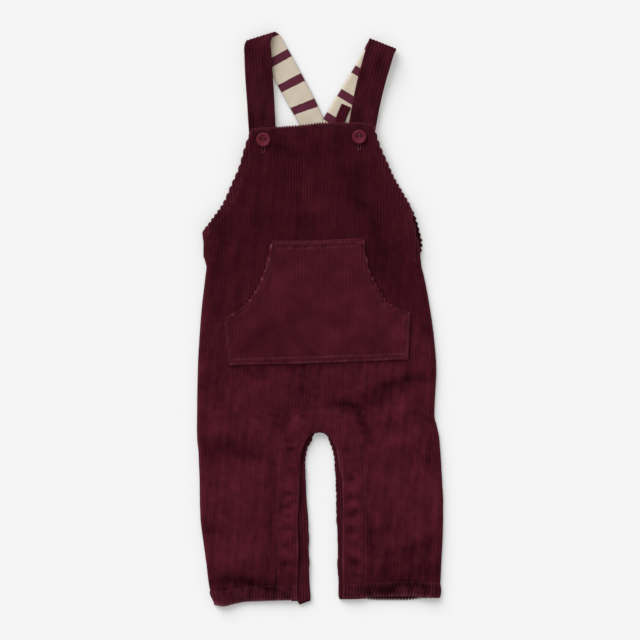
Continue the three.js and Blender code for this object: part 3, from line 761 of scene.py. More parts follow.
# Patches painted paler or darker, laid out like the folds: brushed pile, and painted light and shade
BRUSHED_AND_SHADED = [
    (-28, 176, 26, 8, -5, -0.17),
    (23, 167, 24, 8, -75, -0.12),
    (41, 126, 28, 9, -60, -0.16),
    (64, 76, 32, 12, -73, -0.17),
    (81, 38, 32, 14, -70, -0.1),
    (-3, 147, 34, 14, -75, 0.08),
    (14, 108, 22, 10, -20, 0.12),
    (-102, 91, 26, 5, 72, -0.14),
    (-106, 62, 20, 7, 85, -0.12),
    (-63, 105, 24, 12, 20, -0.06),
    (-15, 103, 28, 8, 0, -0.07),
    (-71, 73, 14, 10, 0, 0.08),
    (81, 119, 20, 9, -62, 0.06),
    (-113, -72, 20, 10, 0, -0.2),
    (-67, -52, 34, 3.5, 1, -0.15),
    (4, -52, 34, 3.5, 2, -0.15),
    (-69, -82, 26, 14, 35, 0.22),
    (-16, -72, 16, 14, 90, -0.2),
    (-37, -104, 14, 5, 65, -0.18),
    (90, -67, 34, 4, 14, -0.4),
    (60, -80, 26, 6, 16, -0.19),
    (34, -92, 20, 6, -8, -0.14),
    (42, -106, 22, 9, -44, -0.46),
    (14, -93, 14, 7, -8, -0.12),
    (83, -98, 16, 8, 40, 0.26),
    (88, -128, 12, 8, 10, 0.12),
    (92, -132, 20, 9, 20, 0.2),
    (115, -146, 12, 7, -20, -0.15),
    (106, -22, 24, 8, -70, 0.1),
    (-99, -140, 30, 10, -3, -0.3),
    (-74, -147, 18, 7, -6, -0.14),
    (-122, -130, 8, 9, 0, -0.14),
    (-99, -181, 24, 20, -60, 0.14),
    (-111, -224, 16, 9, -20, -0.22),
    (-85, -238, 22, 16, -30, 0.12),
    (-88, -262, 16, 8, 10, 0.12),
    (-72, -213, 12, 6, 50, -0.1),
    (-84, -280, 34, 7, 2, -0.55),
    (-46, -283, 12, 5, 0, -0.15),
    (-31, -289, 5, 6, 0, -0.25),
    (-107, -300, 11, 5, -12, 0.5),
    (-76, 27, 22, 5, 46, 0.1),
    (-49.8, -218, 70, 3.2, 90, -0.26),
    (-34, -205, 72, 9, 90, 0.2),
    (35, -195, 72, 9, 90, 0.13),
    (0, -106, 30, 7, 0, 0.13),
    (-30, -120, 12, 8, 60, 0.04),
    (28, -114, 14, 8, -50, 0.16),
    (52, -234, 48, 5, 90, -0.25),
    (88, -181, 36, 22, -10, 0.15),
    (118, -220, 14, 8, 0, 0.15),
    (74, -224, 20, 12, 0, -0.08),
    (92, -245, 30, 7, 14, -0.3),
    (110, -266, 22, 14, 0, -0.3),
    (74, -270, 18, 14, 0, -0.22),
    (95, -262, 14, 3.5, 60, 0.2),
    (78, -284, 44, 4.5, 2, -0.36),
    (-75, -108, 22, 8, 20, 0.08),
    (-108, -118, 16, 10, 60, 0.1),
    (-62, -170, 14, 18, 0, 0.06),
    (70, -140, 14, 10, 40, 0.1),
    (120, -180, 8, 24, 0, 0.08),
    (-20, 60, 30, 10, 0, -0.04),
    (-95, 20, 16, 24, 0, -0.04),
    (-50, 132, 16, 9, 30, -0.05),
    (-70, 160, 12, 10, 60, 0.05),
    (60, 160, 12, 16, 60, 0.06),
    (8, 190, 30, 5, 2, -0.06),
]


def soft_marks(table, x, y, sway=0.0):
    """The sum of soft marks at places that may sway a little, so that none of them is even."""
    x, y = x + sway * unrest(x / 44, y / 44, 95), y + sway * unrest(x / 44, y / 44, 96)
    rise = np.zeros_like(x)
    for at_x, at_y, long, wide, turn, lift in table:
        cos, sin = math.cos(math.radians(turn)), math.sin(math.radians(turn))
        along = ((x - at_x) * cos + (y - at_y) * sin) / long
        across = ((y - at_y) * cos - (x - at_x) * sin) / wide
        rise += lift * np.exp(-(along**2) - across**2)
    return rise


def upper_edge(x):
    """The front's upper edge across it: armhole, bib top, armhole."""
    left, right = BIB_TOP[0][0], RIGHT_ARMHOLE[0][0]
    bib = between(BIB_TOP, x)
    right_arm = between(RIGHT_ARMHOLE, x)
    return np.where(x < left, between(LEFT_ARMHOLE, x), np.where(x > right, right_arm, bib))


def lower_edge(x):
    """The front's lower edge, which is the hem of either leg."""
    return np.where(x < 0, between(LEFT_HEM, x), between(RIGHT_HEM, x))


def lie_of(x, y):
    """Height of the front's inner face where it lies over the back, away from the side seams."""
    x, y = np.broadcast_arrays(np.asarray(x, float), np.asarray(y, float))
    body = mix(LEG_LIE, BODY_LIE, smooth(-100, -40, y))
    over_straps = mix(body, BIB_LIE, smooth(140, 165, y))
    plain = mix(over_straps, BIB_EDGE_LIE, smooth(183, 204, y))
    droop = (1 - smooth(0, 38, upper_edge(x) - y)) * (1 - smooth(150, 170, y))
    underarm = mix(plain, ARMHOLE_LIE, droop)
    underarm = mix(underarm, HEM_LIE, 1 - smooth(0, HEM_DROOP, y - lower_edge(x)))
    quiet = 1 - smooth(155, 175, y) * 0.9
    lowest = np.where((abs(x) < 42) & (y < CROTCH["top"] + 30), PLACKET_LIE, LOWEST_LIE)
    rise = soft_marks(FOLDS, x, y, 1.5) * quiet * (1 - droop)
    fine = (soft_marks(CREASES, x, y, 2) + 1.3 * soft_marks(PUCKERS, x, y)) * (1 - droop)
    return np.maximum(lowest, underarm + rise + fine + 0.22 * unrest(x / 30, y / 42, 11))


def front_place(wale, y):
    """The front's inner face: x, z, the way out of it and how far it is past the side's roll."""
    wale, y = np.broadcast_arrays(np.asarray(wale, float), np.asarray(y, float))
    turn = math.pi / 2 * SEAM_ROLL
    extra = turn - SEAM_ROLL
    level = np.minimum(y, SIDES_TOP)
    left = between(RIBS_RUN, level, 1) + CLOTH
    right = between(RIBS_RUN, level, 2) - CLOTH
    from_left = (right - left + 2 * extra) * wale / WALES
    from_right = right - left + 2 * extra - from_left
    if wale.size > 1:
        tops = [front_place([w], [CROTCH["foot"]])[0][0] for w in (LEFT_LEG, RIGHT_LEG)]
        down = smooth(CROTCH["foot"], CROTCH["foot"] - LEG_SPREAD, y)
        inner = [mix(top, end, down) for top, end in zip(tops, INNER_LEG_AT_HEM)]
        in_left = (y < CROTCH["foot"]) & (wale <= LEFT_LEG)
        in_right = (y < CROTCH["foot"]) & (wale >= RIGHT_LEG)
        left_run = (inner[0] - left + extra) * wale / LEFT_LEG
        right_run = (right - inner[1] + extra) * (WALES - wale) / (WALES - RIGHT_LEG)
        far = 1000.0
        from_left = np.where(in_left, left_run, np.where(in_right, far, from_left))
        from_right = np.where(in_right, right_run, np.where(in_left, far, from_right))
    nearer = np.minimum(from_left, from_right)
    side = np.where(from_left <= from_right, -1.0, 1.0)
    seam = np.where(side < 0, left, right)
    angle = np.clip(nearer / SEAM_ROLL, 0, math.pi / 2)
    past = np.maximum(nearer - turn, 0)
    x = seam - side * (SEAM_ROLL * (1 - np.cos(angle)) + past)
    dent = between(SIDES, level, 1) + CLOTH - left
    dent = np.where(side < 0, dent, between(SIDES, level, 2) - CLOTH - right)
    x = x + dent * (1 - smooth(0, DENT_REACH, past))
    foot = mix(SEAM_FOOT, LOWEST_LIE, smooth(42, 80, y))
    rolled = foot + SEAM_ROLL * np.sin(angle)
    z = np.where(past > 0, mix(foot + SEAM_ROLL, lie_of(x, y), smooth(0, 18, past)), rolled)
    return x, z, side * np.cos(angle), np.sin(angle), past


def dense(table, step=0.8):
    """A polyline with a point every step along a table of (x, y)."""
    p = np.array(table, float)
    run = run_along(p)
    at = np.arange(0, run[-1], step)
    return np.stack([np.interp(at, run, p[:, 0]), np.interp(at, run, p[:, 1])], -1)


def distance_to(line, x, y):
    """How far places are from a polyline."""
    best = np.full(x.shape, np.inf)
    for a in range(0, len(line), 40):
        part = line[a : a + 40]
        away = np.hypot(x[..., None] - part[:, 0], y[..., None] - part[:, 1])
        best = np.minimum(best, away.min(-1))
    return best


def offset(line, by):
    """A polyline moved sideways, to its left where by is over nothing."""
    ahead = np.gradient(line, axis=0)
    ahead /= np.linalg.norm(ahead, axis=1)[:, None]
    return line + by * np.stack([-ahead[:, 1], ahead[:, 0]], -1)


def edge_line(table, start, end, count):
    """A dense line along an edge that a table gives, from one place across the cloth to another."""
    x = np.linspace(start, end, count)
    return dense(np.stack([x, between(table, x)], -1))


left_arm_line = edge_line(LEFT_ARMHOLE, LEFT_ARMHOLE[0][0], LEFT_ARMHOLE[-1][0], 60)
right_arm_line = edge_line(RIGHT_ARMHOLE, RIGHT_ARMHOLE[0][0], RIGHT_ARMHOLE[-1][0], 60)
bib_line = edge_line(BIB_TOP, BIB_TOP[0][0], BIB_TOP[-1][0], 40)
leg_tops = [float(front_place([w], [CROTCH["foot"]])[0][0]) for w in (LEFT_LEG, RIGHT_LEG)]
turn = np.linspace(math.pi, 0, 50)
arch_x = sum(leg_tops) / 2 + (leg_tops[1] - leg_tops[0]) / 2 * np.cos(turn)
arch_y = CROTCH["foot"] + (CROTCH["top"] - CROTCH["foot"]) * np.sin(turn)
leg_y = np.linspace(-300, CROTCH["foot"], 60)
down = smooth(CROTCH["foot"], CROTCH["foot"] - LEG_SPREAD, leg_y)
left_inner = np.stack([mix(leg_tops[0], INNER_LEG_AT_HEM[0], down), leg_y], -1)
right_inner = np.stack([mix(leg_tops[1], INNER_LEG_AT_HEM[1], down), leg_y], -1)[::-1]
gap_line = dense(np.concatenate([left_inner, np.stack([arch_x, arch_y], -1)[1:-1], right_inner]))

ARM_STITCH = 8.5
BIB_STITCH = 5.6
HEM_STITCH = 15.5
GROOVES = {
    "left_arm": 0.5,
    "right_arm": 0.5,
    "bib": 0.4,
    "placket": 0.7,
    "left_hem": 0.5,
    "right_hem": 0.5,
}
FRONT_TOOTH = 1.8
# The right leg's hem was turned up askew, so its ribs lean by so much at its lower edge
HEM_SLANT = 3.2
# An edge steeper than this is measured straight out from it, not down a column
STEEP = 2.5
FAR = 99
PLACKET_STITCH = [
    (-45, -299),
    (-45.5, -240),
    (-45.8, -190),
    (-45.5, -160),
    (-43, -136),
    (-38, -118),
    (-30, -106),
    (-15, -97.5),
    (0, -95.5),
    (16, -97.5),
    (31, -106),
    (39, -118),
    (44, -136),
    (46.5, -160),
    (47.2, -190),
    (47.6, -240),
    (47.8, -298),
]
placket_line = dense(spline(PLACKET_STITCH, 160)[0])
front_seams = {
    "left_arm": offset(left_arm_line, -ARM_STITCH)[8:],
    "right_arm": offset(right_arm_line, -ARM_STITCH)[:-8],
    "bib": bib_line - (0, BIB_STITCH),
    "placket": placket_line,
    "left_hem": dense(LEFT_HEM) + (0, HEM_STITCH),
    "right_hem": dense(RIGHT_HEM) + (0, HEM_STITCH),
}

wale = np.arange(WALES * FINE + 1) / FINE
teeth = pile_at(wale)
at_sides_top = front_place(wale, np.full_like(wale, SIDES_TOP))[0]
top = upper_edge(at_sides_top)
slope = np.gradient(top) / np.gradient(at_sides_top)
tilt = np.hypot(1, slope)
at_crotch = front_place(wale, np.full_like(wale, CROTCH["foot"]))[0]
between_legs = (wale > LEFT_LEG) & (wale < RIGHT_LEG)
arch = arch_height(at_crotch, *leg_tops, CROTCH["top"], CROTCH["foot"])
foot = np.where(between_legs, arch, CROTCH["foot"])
at_hem = front_place(wale, np.full_like(wale, HEM_LEVEL))[0]
hem = np.where(wale < WALES / 2, between(LEFT_HEM, at_hem), between(RIGHT_HEM, at_hem))
hem = hem - 1.2 * (teeth - 0.6)
near_bib = [0, 0.25, 0.6, 1.1, 2, 3.2, 4.2, 4.9, 5.3, 5.7, 6.1, 6.8, 8, 10]
near_arch = [0, 0.25, 0.6, 1.1, 2, 3.4]
near_hem = [0, 0.25, 0.6, 1.1, 2, 3.5, 5.5, 8, 10.5, 12.6, 14, 14.8, 15.4, 16, 16.8, 18, 20.5]
seam_top, hip, body_foot = (np.full_like(wale, level) for level in (SEAM_TOP, HIP, BODY_FOOT))
bib_rows = levels(top, seam_top, near_bib, [0], 30)
body_rows = levels(seam_top, hip, [0], [0], 33)
arch_rows = levels(hip, body_foot, [0], [0], 15)
crotch_rows = levels(body_foot, foot, [0], near_arch, 12)
leg_rows = levels(foot, hem, [0], near_hem, 22)
y = np.concatenate([bib_rows, body_rows[1:], arch_rows[1:], crotch_rows[1:], leg_rows[1:]])
crotch_row = len(y) - len(leg_rows)
x, z, out_x, out_z, past = front_place(wale, y)
levels_down = (top - y) / tilt
straight_in = distance_to(np.concatenate([left_arm_line, right_arm_line]), x, y) - 1.5
levels_down = np.where(tilt > STEEP, np.maximum(levels_down, straight_in), levels_down)
teeth_out = FRONT_TOOTH * (teeth - 0.62) * bell(levels_down, 3.2)
x, y = x - teeth_out * slope / tilt, y + teeth_out / tilt
calm = smooth(0, 12, past)
x = x + calm * 0.28 * unrest(wale / 5, y / 40, 21)
slant = np.clip((HEM_STITCH - y + hem) / HEM_STITCH, 0, 1)
slant = smooth(HEM_STITCH + 1, HEM_STITCH - 3, y - hem) * slant
x = x - HEM_SLANT * slant * calm * smooth(50, 58, wale) * (1 - smooth(76, 79, wale))

inward = levels_down < 14
bib_left, bib_right = BIB_TOP[0][0] - 1, BIB_TOP[-1][0] + 1
from_gap = distance_to(gap_line, x, y)
from_arm = np.where(inward & ((x < bib_left) | (x > bib_right)), levels_down, FAR)
from_bib = np.where(inward & (x > bib_left) & (x < bib_right), levels_down, FAR)
edge = np.minimum(levels_down, y - hem)
edge = np.minimum(edge, np.where(y < CROTCH["top"] + 20, from_gap, FAR))
full = np.maximum(rounded(edge, 1.5), 0.22)
groove = np.zeros_like(x)
for key, line in front_seams.items():
    groove = np.maximum(groove, GROOVES[key] * bell(distance_to(line, x, y), 1.0))

in_hem = 1 - smooth(HEM_STITCH - 1.5, HEM_STITCH + 0.5, y - hem)
in_arm = 1 - smooth(ARM_STITCH - 1.5, ARM_STITCH + 0.5, from_arm)
turned = np.maximum.reduce(
    [in_arm, 1 - smooth(BIB_STITCH - 1.5, BIB_STITCH + 0.5, from_bib), in_hem]
)
from_placket = distance_to(placket_line, x, y)
inside_strip = smooth(0.5, 3, from_placket) * (from_gap < 24)
turned = np.maximum(turned, 0.5 * inside_strip * (y < -100))
bounce = 1 + 0.07 * unrest(wale / 2.2, y / 9, 31) + 0.08 * unrest(wale / 0.9, y / 3.5, 32)
standing = np.maximum(mix(0.48, 0.82, smooth(-20, 130, y)), np.maximum(in_hem, in_arm))
ribs = mix(0.68, teeth * bounce, standing) * (1 - 0.62 * groove)
puffs = 0.35 * turned * unrest(wale / 3.2, y / 14, 33)
thick = (GROUND + PILE * ribs + 0.55 * turned + puffs - 0.55 * groove) * full
outer = np.stack([x + out_x * thick, y, z + out_z * thick], -1)
inner = np.stack([x, y, z - 0.15 * (1 - full)], -1)[:, ::FINE]
# The crest mark is lower along the stitch lines: painted shade in their grooves
crest = np.clip(teeth * bounce * (1 - 0.25 * groove) * (0.6 + 0.4 * full), 0, 1)
in_bib = 1 - smooth(BIB_STITCH - 0.5, BIB_STITCH + 1, from_bib)
wear_and_highlight = 0.5 * bell(edge, 1.3) * teeth
wear_and_highlight = wear_and_highlight + (0.3 * in_hem + 0.16 * in_arm) * teeth**3 + 0.09 * in_bib
specks = np.clip(0.4 + 0.9 * unrest(x / 4, y / 4, 99), 0, 1.5)
wear_and_highlight = wear_and_highlight + 0.3 * bell(from_arm, 2.6) * teeth**2 * specks
# A painted highlight along the lower rim of each hem, which rolls down away from the lamp
rim = np.where(x > 45, 0.9, 0.6) * bell(y - hem - 1.4, 1.5)
wear_and_highlight = wear_and_highlight + rim * (0.4 + 0.6 * teeth)
# Painted sheen where the sides roll down to the seams, and paler wear along the stitch lines
wear_and_highlight = wear_and_highlight + 0.09 * out_x**2 * (y < SEAM_TOP) + 0.06 * groove
# How much paler or darker the front is: the pile's lie, painted light and shade of folds and puckers,
# and tone that varies at random
nap_and_shade = between(FRONT_TONE_DOWN, y) - 1 + 1.2 * soft_marks(BRUSHED_AND_SHADED, x, y, 2.5)
nap_and_shade = nap_and_shade + 0.58 * soft_marks(PUCKERS, x, y) + 0.06 * turned * (y > 60) - 0.1 * in_hem
# A painted highlight along the raised seam round the inner legs
seam_ridge_highlight = bell(from_placket - 2.4, 1.3) * (from_gap < 24)
nap_and_shade = nap_and_shade + 0.13 * seam_ridge_highlight * smooth(-160, -125, y)
below_bib = 1 - smooth(-60, 70, y)
nap_and_shade = nap_and_shade + (0.04 + 0.04 * below_bib) * (unrest(x / 17, y / 15, 92) + unrest(x / 8, y / 9, 93))

BUTTONS = {"left": (-60, 190), "right": (41.6, 193)}
SLIT = {"above": 3.5, "below": 13.5, "wide": 0.75}
for middle_x, middle_y in BUTTONS.values():
    slit_foot, slit_top = middle_y - SLIT["below"], middle_y + SLIT["above"]
    along = smooth(slit_foot - 0.5, slit_foot + 0.5, y)
    along = along * (1 - smooth(slit_top - 0.5, slit_top + 0.5, y))
    slit = along * np.exp(-(((x - middle_x) / SLIT["wide"]) ** 4))
    outer[..., 2] -= 1.3 * slit
    # The slit is painted dark: painted shade in the cut
    crest = crest * (1 - 0.9 * slit)

spaces = np.ones((len(y) - 1, WALES), bool)
spaces[crotch_row:, LEFT_LEG:RIGHT_LEG] = False
front = shell(
    "front_cloth",
    outer,
    inner,
    corduroy,
    {"crest": crest, "worn_and_lit": wear_and_highlight, "nap_and_shade": nap_and_shade},
    HIDDEN,
    spaces,
)
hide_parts("front")


# The pouch pocket
# A second layer of corduroy on the belly, turned under, double-stitched along its top and bottom
# and stitched once along its sides, with a turned, topstitched curve at each side where a hand goes
# in.
POCKET_WALES = 62
POCKET_SEAT = 0.3
POCKET_TOP_ENDS = (-50, 45)
CURVE_TOOTH = 1.7
TOP_RUN_TOOTH = 0.4
POCKET_TOP = [
    (-102.5, 0),
    (-92, 6.5),
    (-79.5, 15),
    (-69, 28.5),
    (-61.5, 44.5),
    (-57.5, 55),
    (-55, 68),
    (-50, 83),
    (-15, 83),
    (45, 85.5),
    (48, 70),
    (53, 50),
    (61.5, 33),
    (71, 18),
    (83, 10.5),
    (96, 6.5),
]
POCKET_SIDES = [(-50, -97.5, 93.5), (-2, -102.5, 96)]
POCKET_BOTTOM = [(-98, -49.5), (-14, -47.5), (94, -43.5)]
# Patches on the pocket painted paler or darker, laid out like the folds: brushed pile, and painted
# light and shade
POCKET_BRUSHED_AND_SHADED = [
    (-42, 36, 22, 14, 20, 0.12),
    (37, 17, 24, 10, -12, 0.1),
    (88, -19, 22, 7, 90, 0.2),
    (0, -19, 22, 12, 0, 0.07),
    (-55, -19, 28, 14, 0, -0.1),
    (-99.5, -4, 4, 2.5, -60, 0.28),
    (41, 84, 6, 3, 0, 0.14),
    (91, 3, 5, 4, -40, 0.12),
    (60, -31, 16, 9, 0, -0.12),
    (-14, 6, 14, 10, 0, -0.05),
    (-30, 68, 22, 8, 0, -0.06),
]


wale = np.arange(POCKET_WALES * FINE + 1) / FINE
teeth = pile_at(wale)
share = wale / POCKET_WALES
wide = mix(POCKET_SIDES[1][1], POCKET_SIDES[1][2], share)
sloped = (wide < POCKET_TOP_ENDS[0]) | (wide > POCKET_TOP_ENDS[1])
top = between(POCKET_TOP, wide)
slope = np.where(sloped, np.clip(np.gradient(top) / np.gradient(wide), -8, 8), 0)
tilt = np.hypot(1, slope)
bottom = between(POCKET_BOTTOM, wide)
near_top = [0, 0.3, 0.7, 1.3, 2, 2.5, 3, 3.5, 4.3, 5.5, 6.6, 7.2, 7.7, 8.2, 9, 10.5]
near_bottom = [0, 0.3, 0.7, 1.2, 1.7, 2.2, 2.8, 3.8, 5.3, 6.3, 6.9, 7.4, 7.9, 8.6, 10]
y = levels(top, bottom, near_top, near_bottom, 26)
x = mix(between(POCKET_SIDES, y, 1), between(POCKET_SIDES, y, 2), share)
calm = smooth(0, 8, wide - POCKET_SIDES[1][1]) * smooth(0, 8, POCKET_SIDES[1][2] - wide)
x = x + 0.25 * unrest(wale / 5, y / 40, 41) * calm
levels_down = (top - y) / tilt
teeth_out = np.where(sloped, CURVE_TOOTH, TOP_RUN_TOOTH) * (teeth - 0.62) * bell(levels_down, 2.6)
x, y = x - teeth_out * slope / tilt, y + teeth_out / tilt

left_curve = edge_line(POCKET_TOP, -102, POCKET_TOP_ENDS[0], 80)
right_curve = edge_line(POCKET_TOP, POCKET_TOP_ENDS[1], 95.5, 80)
top_run = dense([(-50, 83), (-15, 83), (45, 85.5)])
bottom_run = dense(POCKET_BOTTOM)
left_run = dense([(-102.5, 0), (-97.5, -49.5)])
right_run = dense([(96, 6.5), (93.5, -43.5)])
CURVE_STITCH = 5.2
POCKET_STITCHES = (2.6, 7.8)
BOTTOM_STITCHES = (2.0, 7.2)
SIDE_STITCH = 2.2
pocket_seams = {
    "left_curve": offset(left_curve, -CURVE_STITCH)[6:-4],
    "right_curve": offset(right_curve, -CURVE_STITCH)[4:-6],
    "top": top_run - (0, POCKET_STITCHES[0]),
    "top_second": top_run[4:-4] - (0, POCKET_STITCHES[1]),
    "bottom": bottom_run[2:-2] + (0, BOTTOM_STITCHES[0]),
    "bottom_second": bottom_run[6:-6] + (0, BOTTOM_STITCHES[1]),
    "left": left_run + (SIDE_STITCH, 0),
    "right": right_run - (SIDE_STITCH, 0),
}
on_curve = np.where(sloped, levels_down, FAR)
from_left = distance_to(left_run, x, y)
on_side = np.minimum(from_left, distance_to(right_run, x, y))
sewn = np.minimum(np.minimum(y - bottom, on_side), np.where(sloped, FAR, top - y))
edge = np.minimum(np.minimum(levels_down, y - bottom), on_side)
full = np.maximum(rounded(edge, 2.6), 0.15)
groove = np.zeros_like(x)
for key, line in pocket_seams.items():
    depth = 0.35 if key.endswith("curve") else 0.6
    groove = np.maximum(groove, depth * bell(distance_to(line, x, y), 0.95))
turned = np.maximum(1 - smooth(6, 9, sewn), 1 - smooth(4, 6, on_curve))
lift = 0.9 * smooth(4, 30, sewn) + 0.7 * (1 - smooth(2, 14, on_curve)) * smooth(4, 20, sewn)
bounce = 1 + 0.07 * unrest(wale / 2.2, y / 9, 51) + 0.08 * unrest(wale / 0.9, y / 3.5, 52)
ribs = mix(0.68, teeth * bounce, 0.55) * (1 - 0.62 * groove)
puffs = 0.3 * turned * unrest(wale / 3.2, y / 12, 53)
base = lie_of(x, y) + CLOTH + POCKET_SEAT + lift
thick = (GROUND + PILE * ribs + 0.25 * turned + puffs - 0.45 * groove) * full
outer = np.stack([x, y, base + thick], -1)
inner = np.stack([x, y, base], -1)[:, ::FINE]
# The crest mark is lower along the stitch lines: painted shade in their grooves
crest = np.clip(0.2 + 0.8 * teeth * bounce * (1 - 0.25 * groove) * (0.6 + 0.4 * full), 0, 1)
blobs = np.clip(0.4 + 0.9 * unrest(x / 5, y / 5, 98), 0, 1.7)
curved = smooth(7, 3, on_curve)
upper = smooth(6, 38, y)
# Paler blobs along the pocket's edges, most on the upper curves: partly worn pile, partly painted
# highlights on the scalloped edge; paler wear along the stitch lines
on_edge = bell(edge, 1.6) * (0.13 + curved * (0.2 + 0.45 * upper))
wear_and_highlight = on_edge * blobs + groove * (0.16 + 0.36 * blobs)
nap_and_shade = 0.02 + 1.9 * soft_marks(POCKET_BRUSHED_AND_SHADED, x, y, 4.5)
nap_and_shade = nap_and_shade + 0.06 * unrest(x / 26, y / 22, 94) + 0.03 * unrest(x / 9, y / 9, 97)
shaded = bell(from_left, 1.8) + curved * (1 - upper) * (edge < 2.5)
nap_and_shade = nap_and_shade - 0.04 - 0.22 * shaded
pocket = shell(
    "pocket_cloth",
    outer,
    inner,
    corduroy,
    {"crest": crest, "worn_and_lit": wear_and_highlight, "nap_and_shade": nap_and_shade},
    HIDDEN,
)
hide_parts("pocket")


# The shoulder straps
# Corduroy outside and striped cotton jersey inside, sewn at the edges and turned out. Each one
# comes from behind the bib, folds over at the shoulder and runs down to the middle of the back.
STRAP_WALES = 9
STRAP_ROWS = 190
LINING = 0.8
LINING_COLUMNS = 13
SEAM_GAP = 0.3
STRAPS_MEET = 3.5
MITRE_TOP = 216
# Each station by the x and y of the left edge, those of the right edge, and the height
LEFT_STRAP = [
    (-73.7, 171, -45.1, 171, 3.1),
    (-74.9, 190, -46.3, 190, 3.3),
    (-76, 206, -47.1, 206, 4.4),
    (-77.4, 229, -48.2, 229, 5),
    (-79.3, 256, -49.8, 256, 6.4),
    (-80.2, 278, -51.4, 281, 8.2),
    (-80.3, 289, -51.9, 294.8, 8.4),
    (-78.2, 293.6, -46.6, 303.4, 5.6),
    (-71.5, 288.5, -42.4, 301, 2.8),
    (-62.5, 277, -36.6, 291, 2.2),
    (-53.5, 263, -28.7, 277, 2.2),
    (-41.6, 241.7, -16.6, 254.5, 2.2),
    (-30.7, 222, -4.9, 232, 2.2),
    (-20.6, 204.5, 4.6, 211.5, 2.2),
    (-10, 184, 14.6, 191.5, 4.1),
    (6, 154, 30.6, 161.5, 4.3),
]
RIGHT_STRAP = [
    (24.9, 171.7, 53.4, 167, 3.1),
    (27.6, 189.7, 56.2, 185, 3.3),
    (30.7, 208.3, 59.4, 203.5, 4.5),
    (35, 232.1, 63.8, 226.8, 5),
    (40, 255.5, 69, 248.6, 6.4),
    (45.7, 276.7, 74.8, 268.2, 8.2),
    (49.8, 290.4, 78.5, 280.4, 8.4),
    (51.9, 296.5, 80.8, 285, 5.6),
    (49.6, 292, 76, 279.5, 2.8),
    (43.6, 279.6, 67.4, 265.5, 2.2),
    (31.6, 259.2, 55, 244.9, 2.2),
    (18.5, 237.4, 41.6, 223.2, 2.2),
    (6.4, 217.8, 29.7, 204, 2.2),
    (-5.3, 199.3, 18, 185, 3.7),
    (-22, 170, 1.5, 156, 4.3),
]
STRIPE_REPEAT = 29
STRIPE_WIDTH = 9
CREAM = (0.69, 0.61, 0.495, 1)
PLUM = (0.109, 0.0178, 0.039, 1)


def jersey_finish():
    """Fine cotton knit in cream, with plum stripes knitted across the strap."""
    knit = Finish("striped_jersey")
    along = knit.attribute("along")
    across = knit.attribute("across")
    wander = knit.noise(knit.place(260, 260, 260), 2)
    phase = (along + (wander - 0.5) * 0.9) / STRIPE_REPEAT
    from_band = (phase - phase.math("ROUND")).math("ABSOLUTE") * STRIPE_REPEAT
    cream_share = from_band.step(STRIPE_WIDTH / 2 - 0.25, STRIPE_WIDTH / 2 + 0.25)
    loops = (across * (math.tau / 1.15)).math("SINE")
    rows = (along * (math.tau / 0.85) + (loops * 1.4)).math("SINE")
    stitch = (loops * 0.5 + rows * 0.5) * 0.5 + 0.5
    fibre = knit.noise(knit.place(2600, 2600, 2600), 2)
    soil = knit.noise(knit.place(60, 60, 60), 2)
    shade = 0.8 + stitch * 0.12 + fibre * 0.1 + soil * 0.1
    colour = knit.blend(cream_share, PLUM, CREAM)
    dark = knit.blend(1.0, colour, (0.72, 0.68, 0.64, 1), "MULTIPLY")
    colour = knit.blend((shade - 0.8) / 0.32, dark, colour)
    normal = knit.relief(stitch + fibre * 0.4, 0.25, 0.6)
    return knit.surface(
        base_color=colour,
        roughness=0.95,
        normal=normal,
        sheen_weight=0.08,
        specular_ior_level=0.15,
    )


jersey = jersey_finish()


def ribbon(stations, count):
    """The two edges of a strap, the way across it and the way out of its corduroy face."""
    table = np.array(stations, float)
    left, left_ahead = spline(table[:, [0, 1, 4]], count)
    right, right_ahead = spline(table[:, [2, 3, 4]], count)
    across = right - left
    width = np.linalg.norm(across, axis=1)[:, None]
    out = np.cross(across / width, left_ahead + right_ahead)
    out /= np.linalg.norm(out, axis=1)[:, None]
    return left, right, width[:, 0], out


def mitred(grid, back_run, side):
    """A strap's points, with those past the line where the two straps meet moved onto it."""
    limit = STRAPS_MEET + side * SEAM_GAP / 2
    past = back_run[:, None] & (side * (limit - grid[..., 0]) > 0) & (grid[..., 1] < MITRE_TOP)
    return np.stack([np.where(past, limit, grid[..., 0]), grid[..., 1], grid[..., 2]], -1)


def turned_over(marks, rows):
    """Marks spread over all points of a strap, in the order of its rows from the back."""
    return {key: np.broadcast_to(value, rows.shape[:2])[::-1] for key, value in marks.items()}


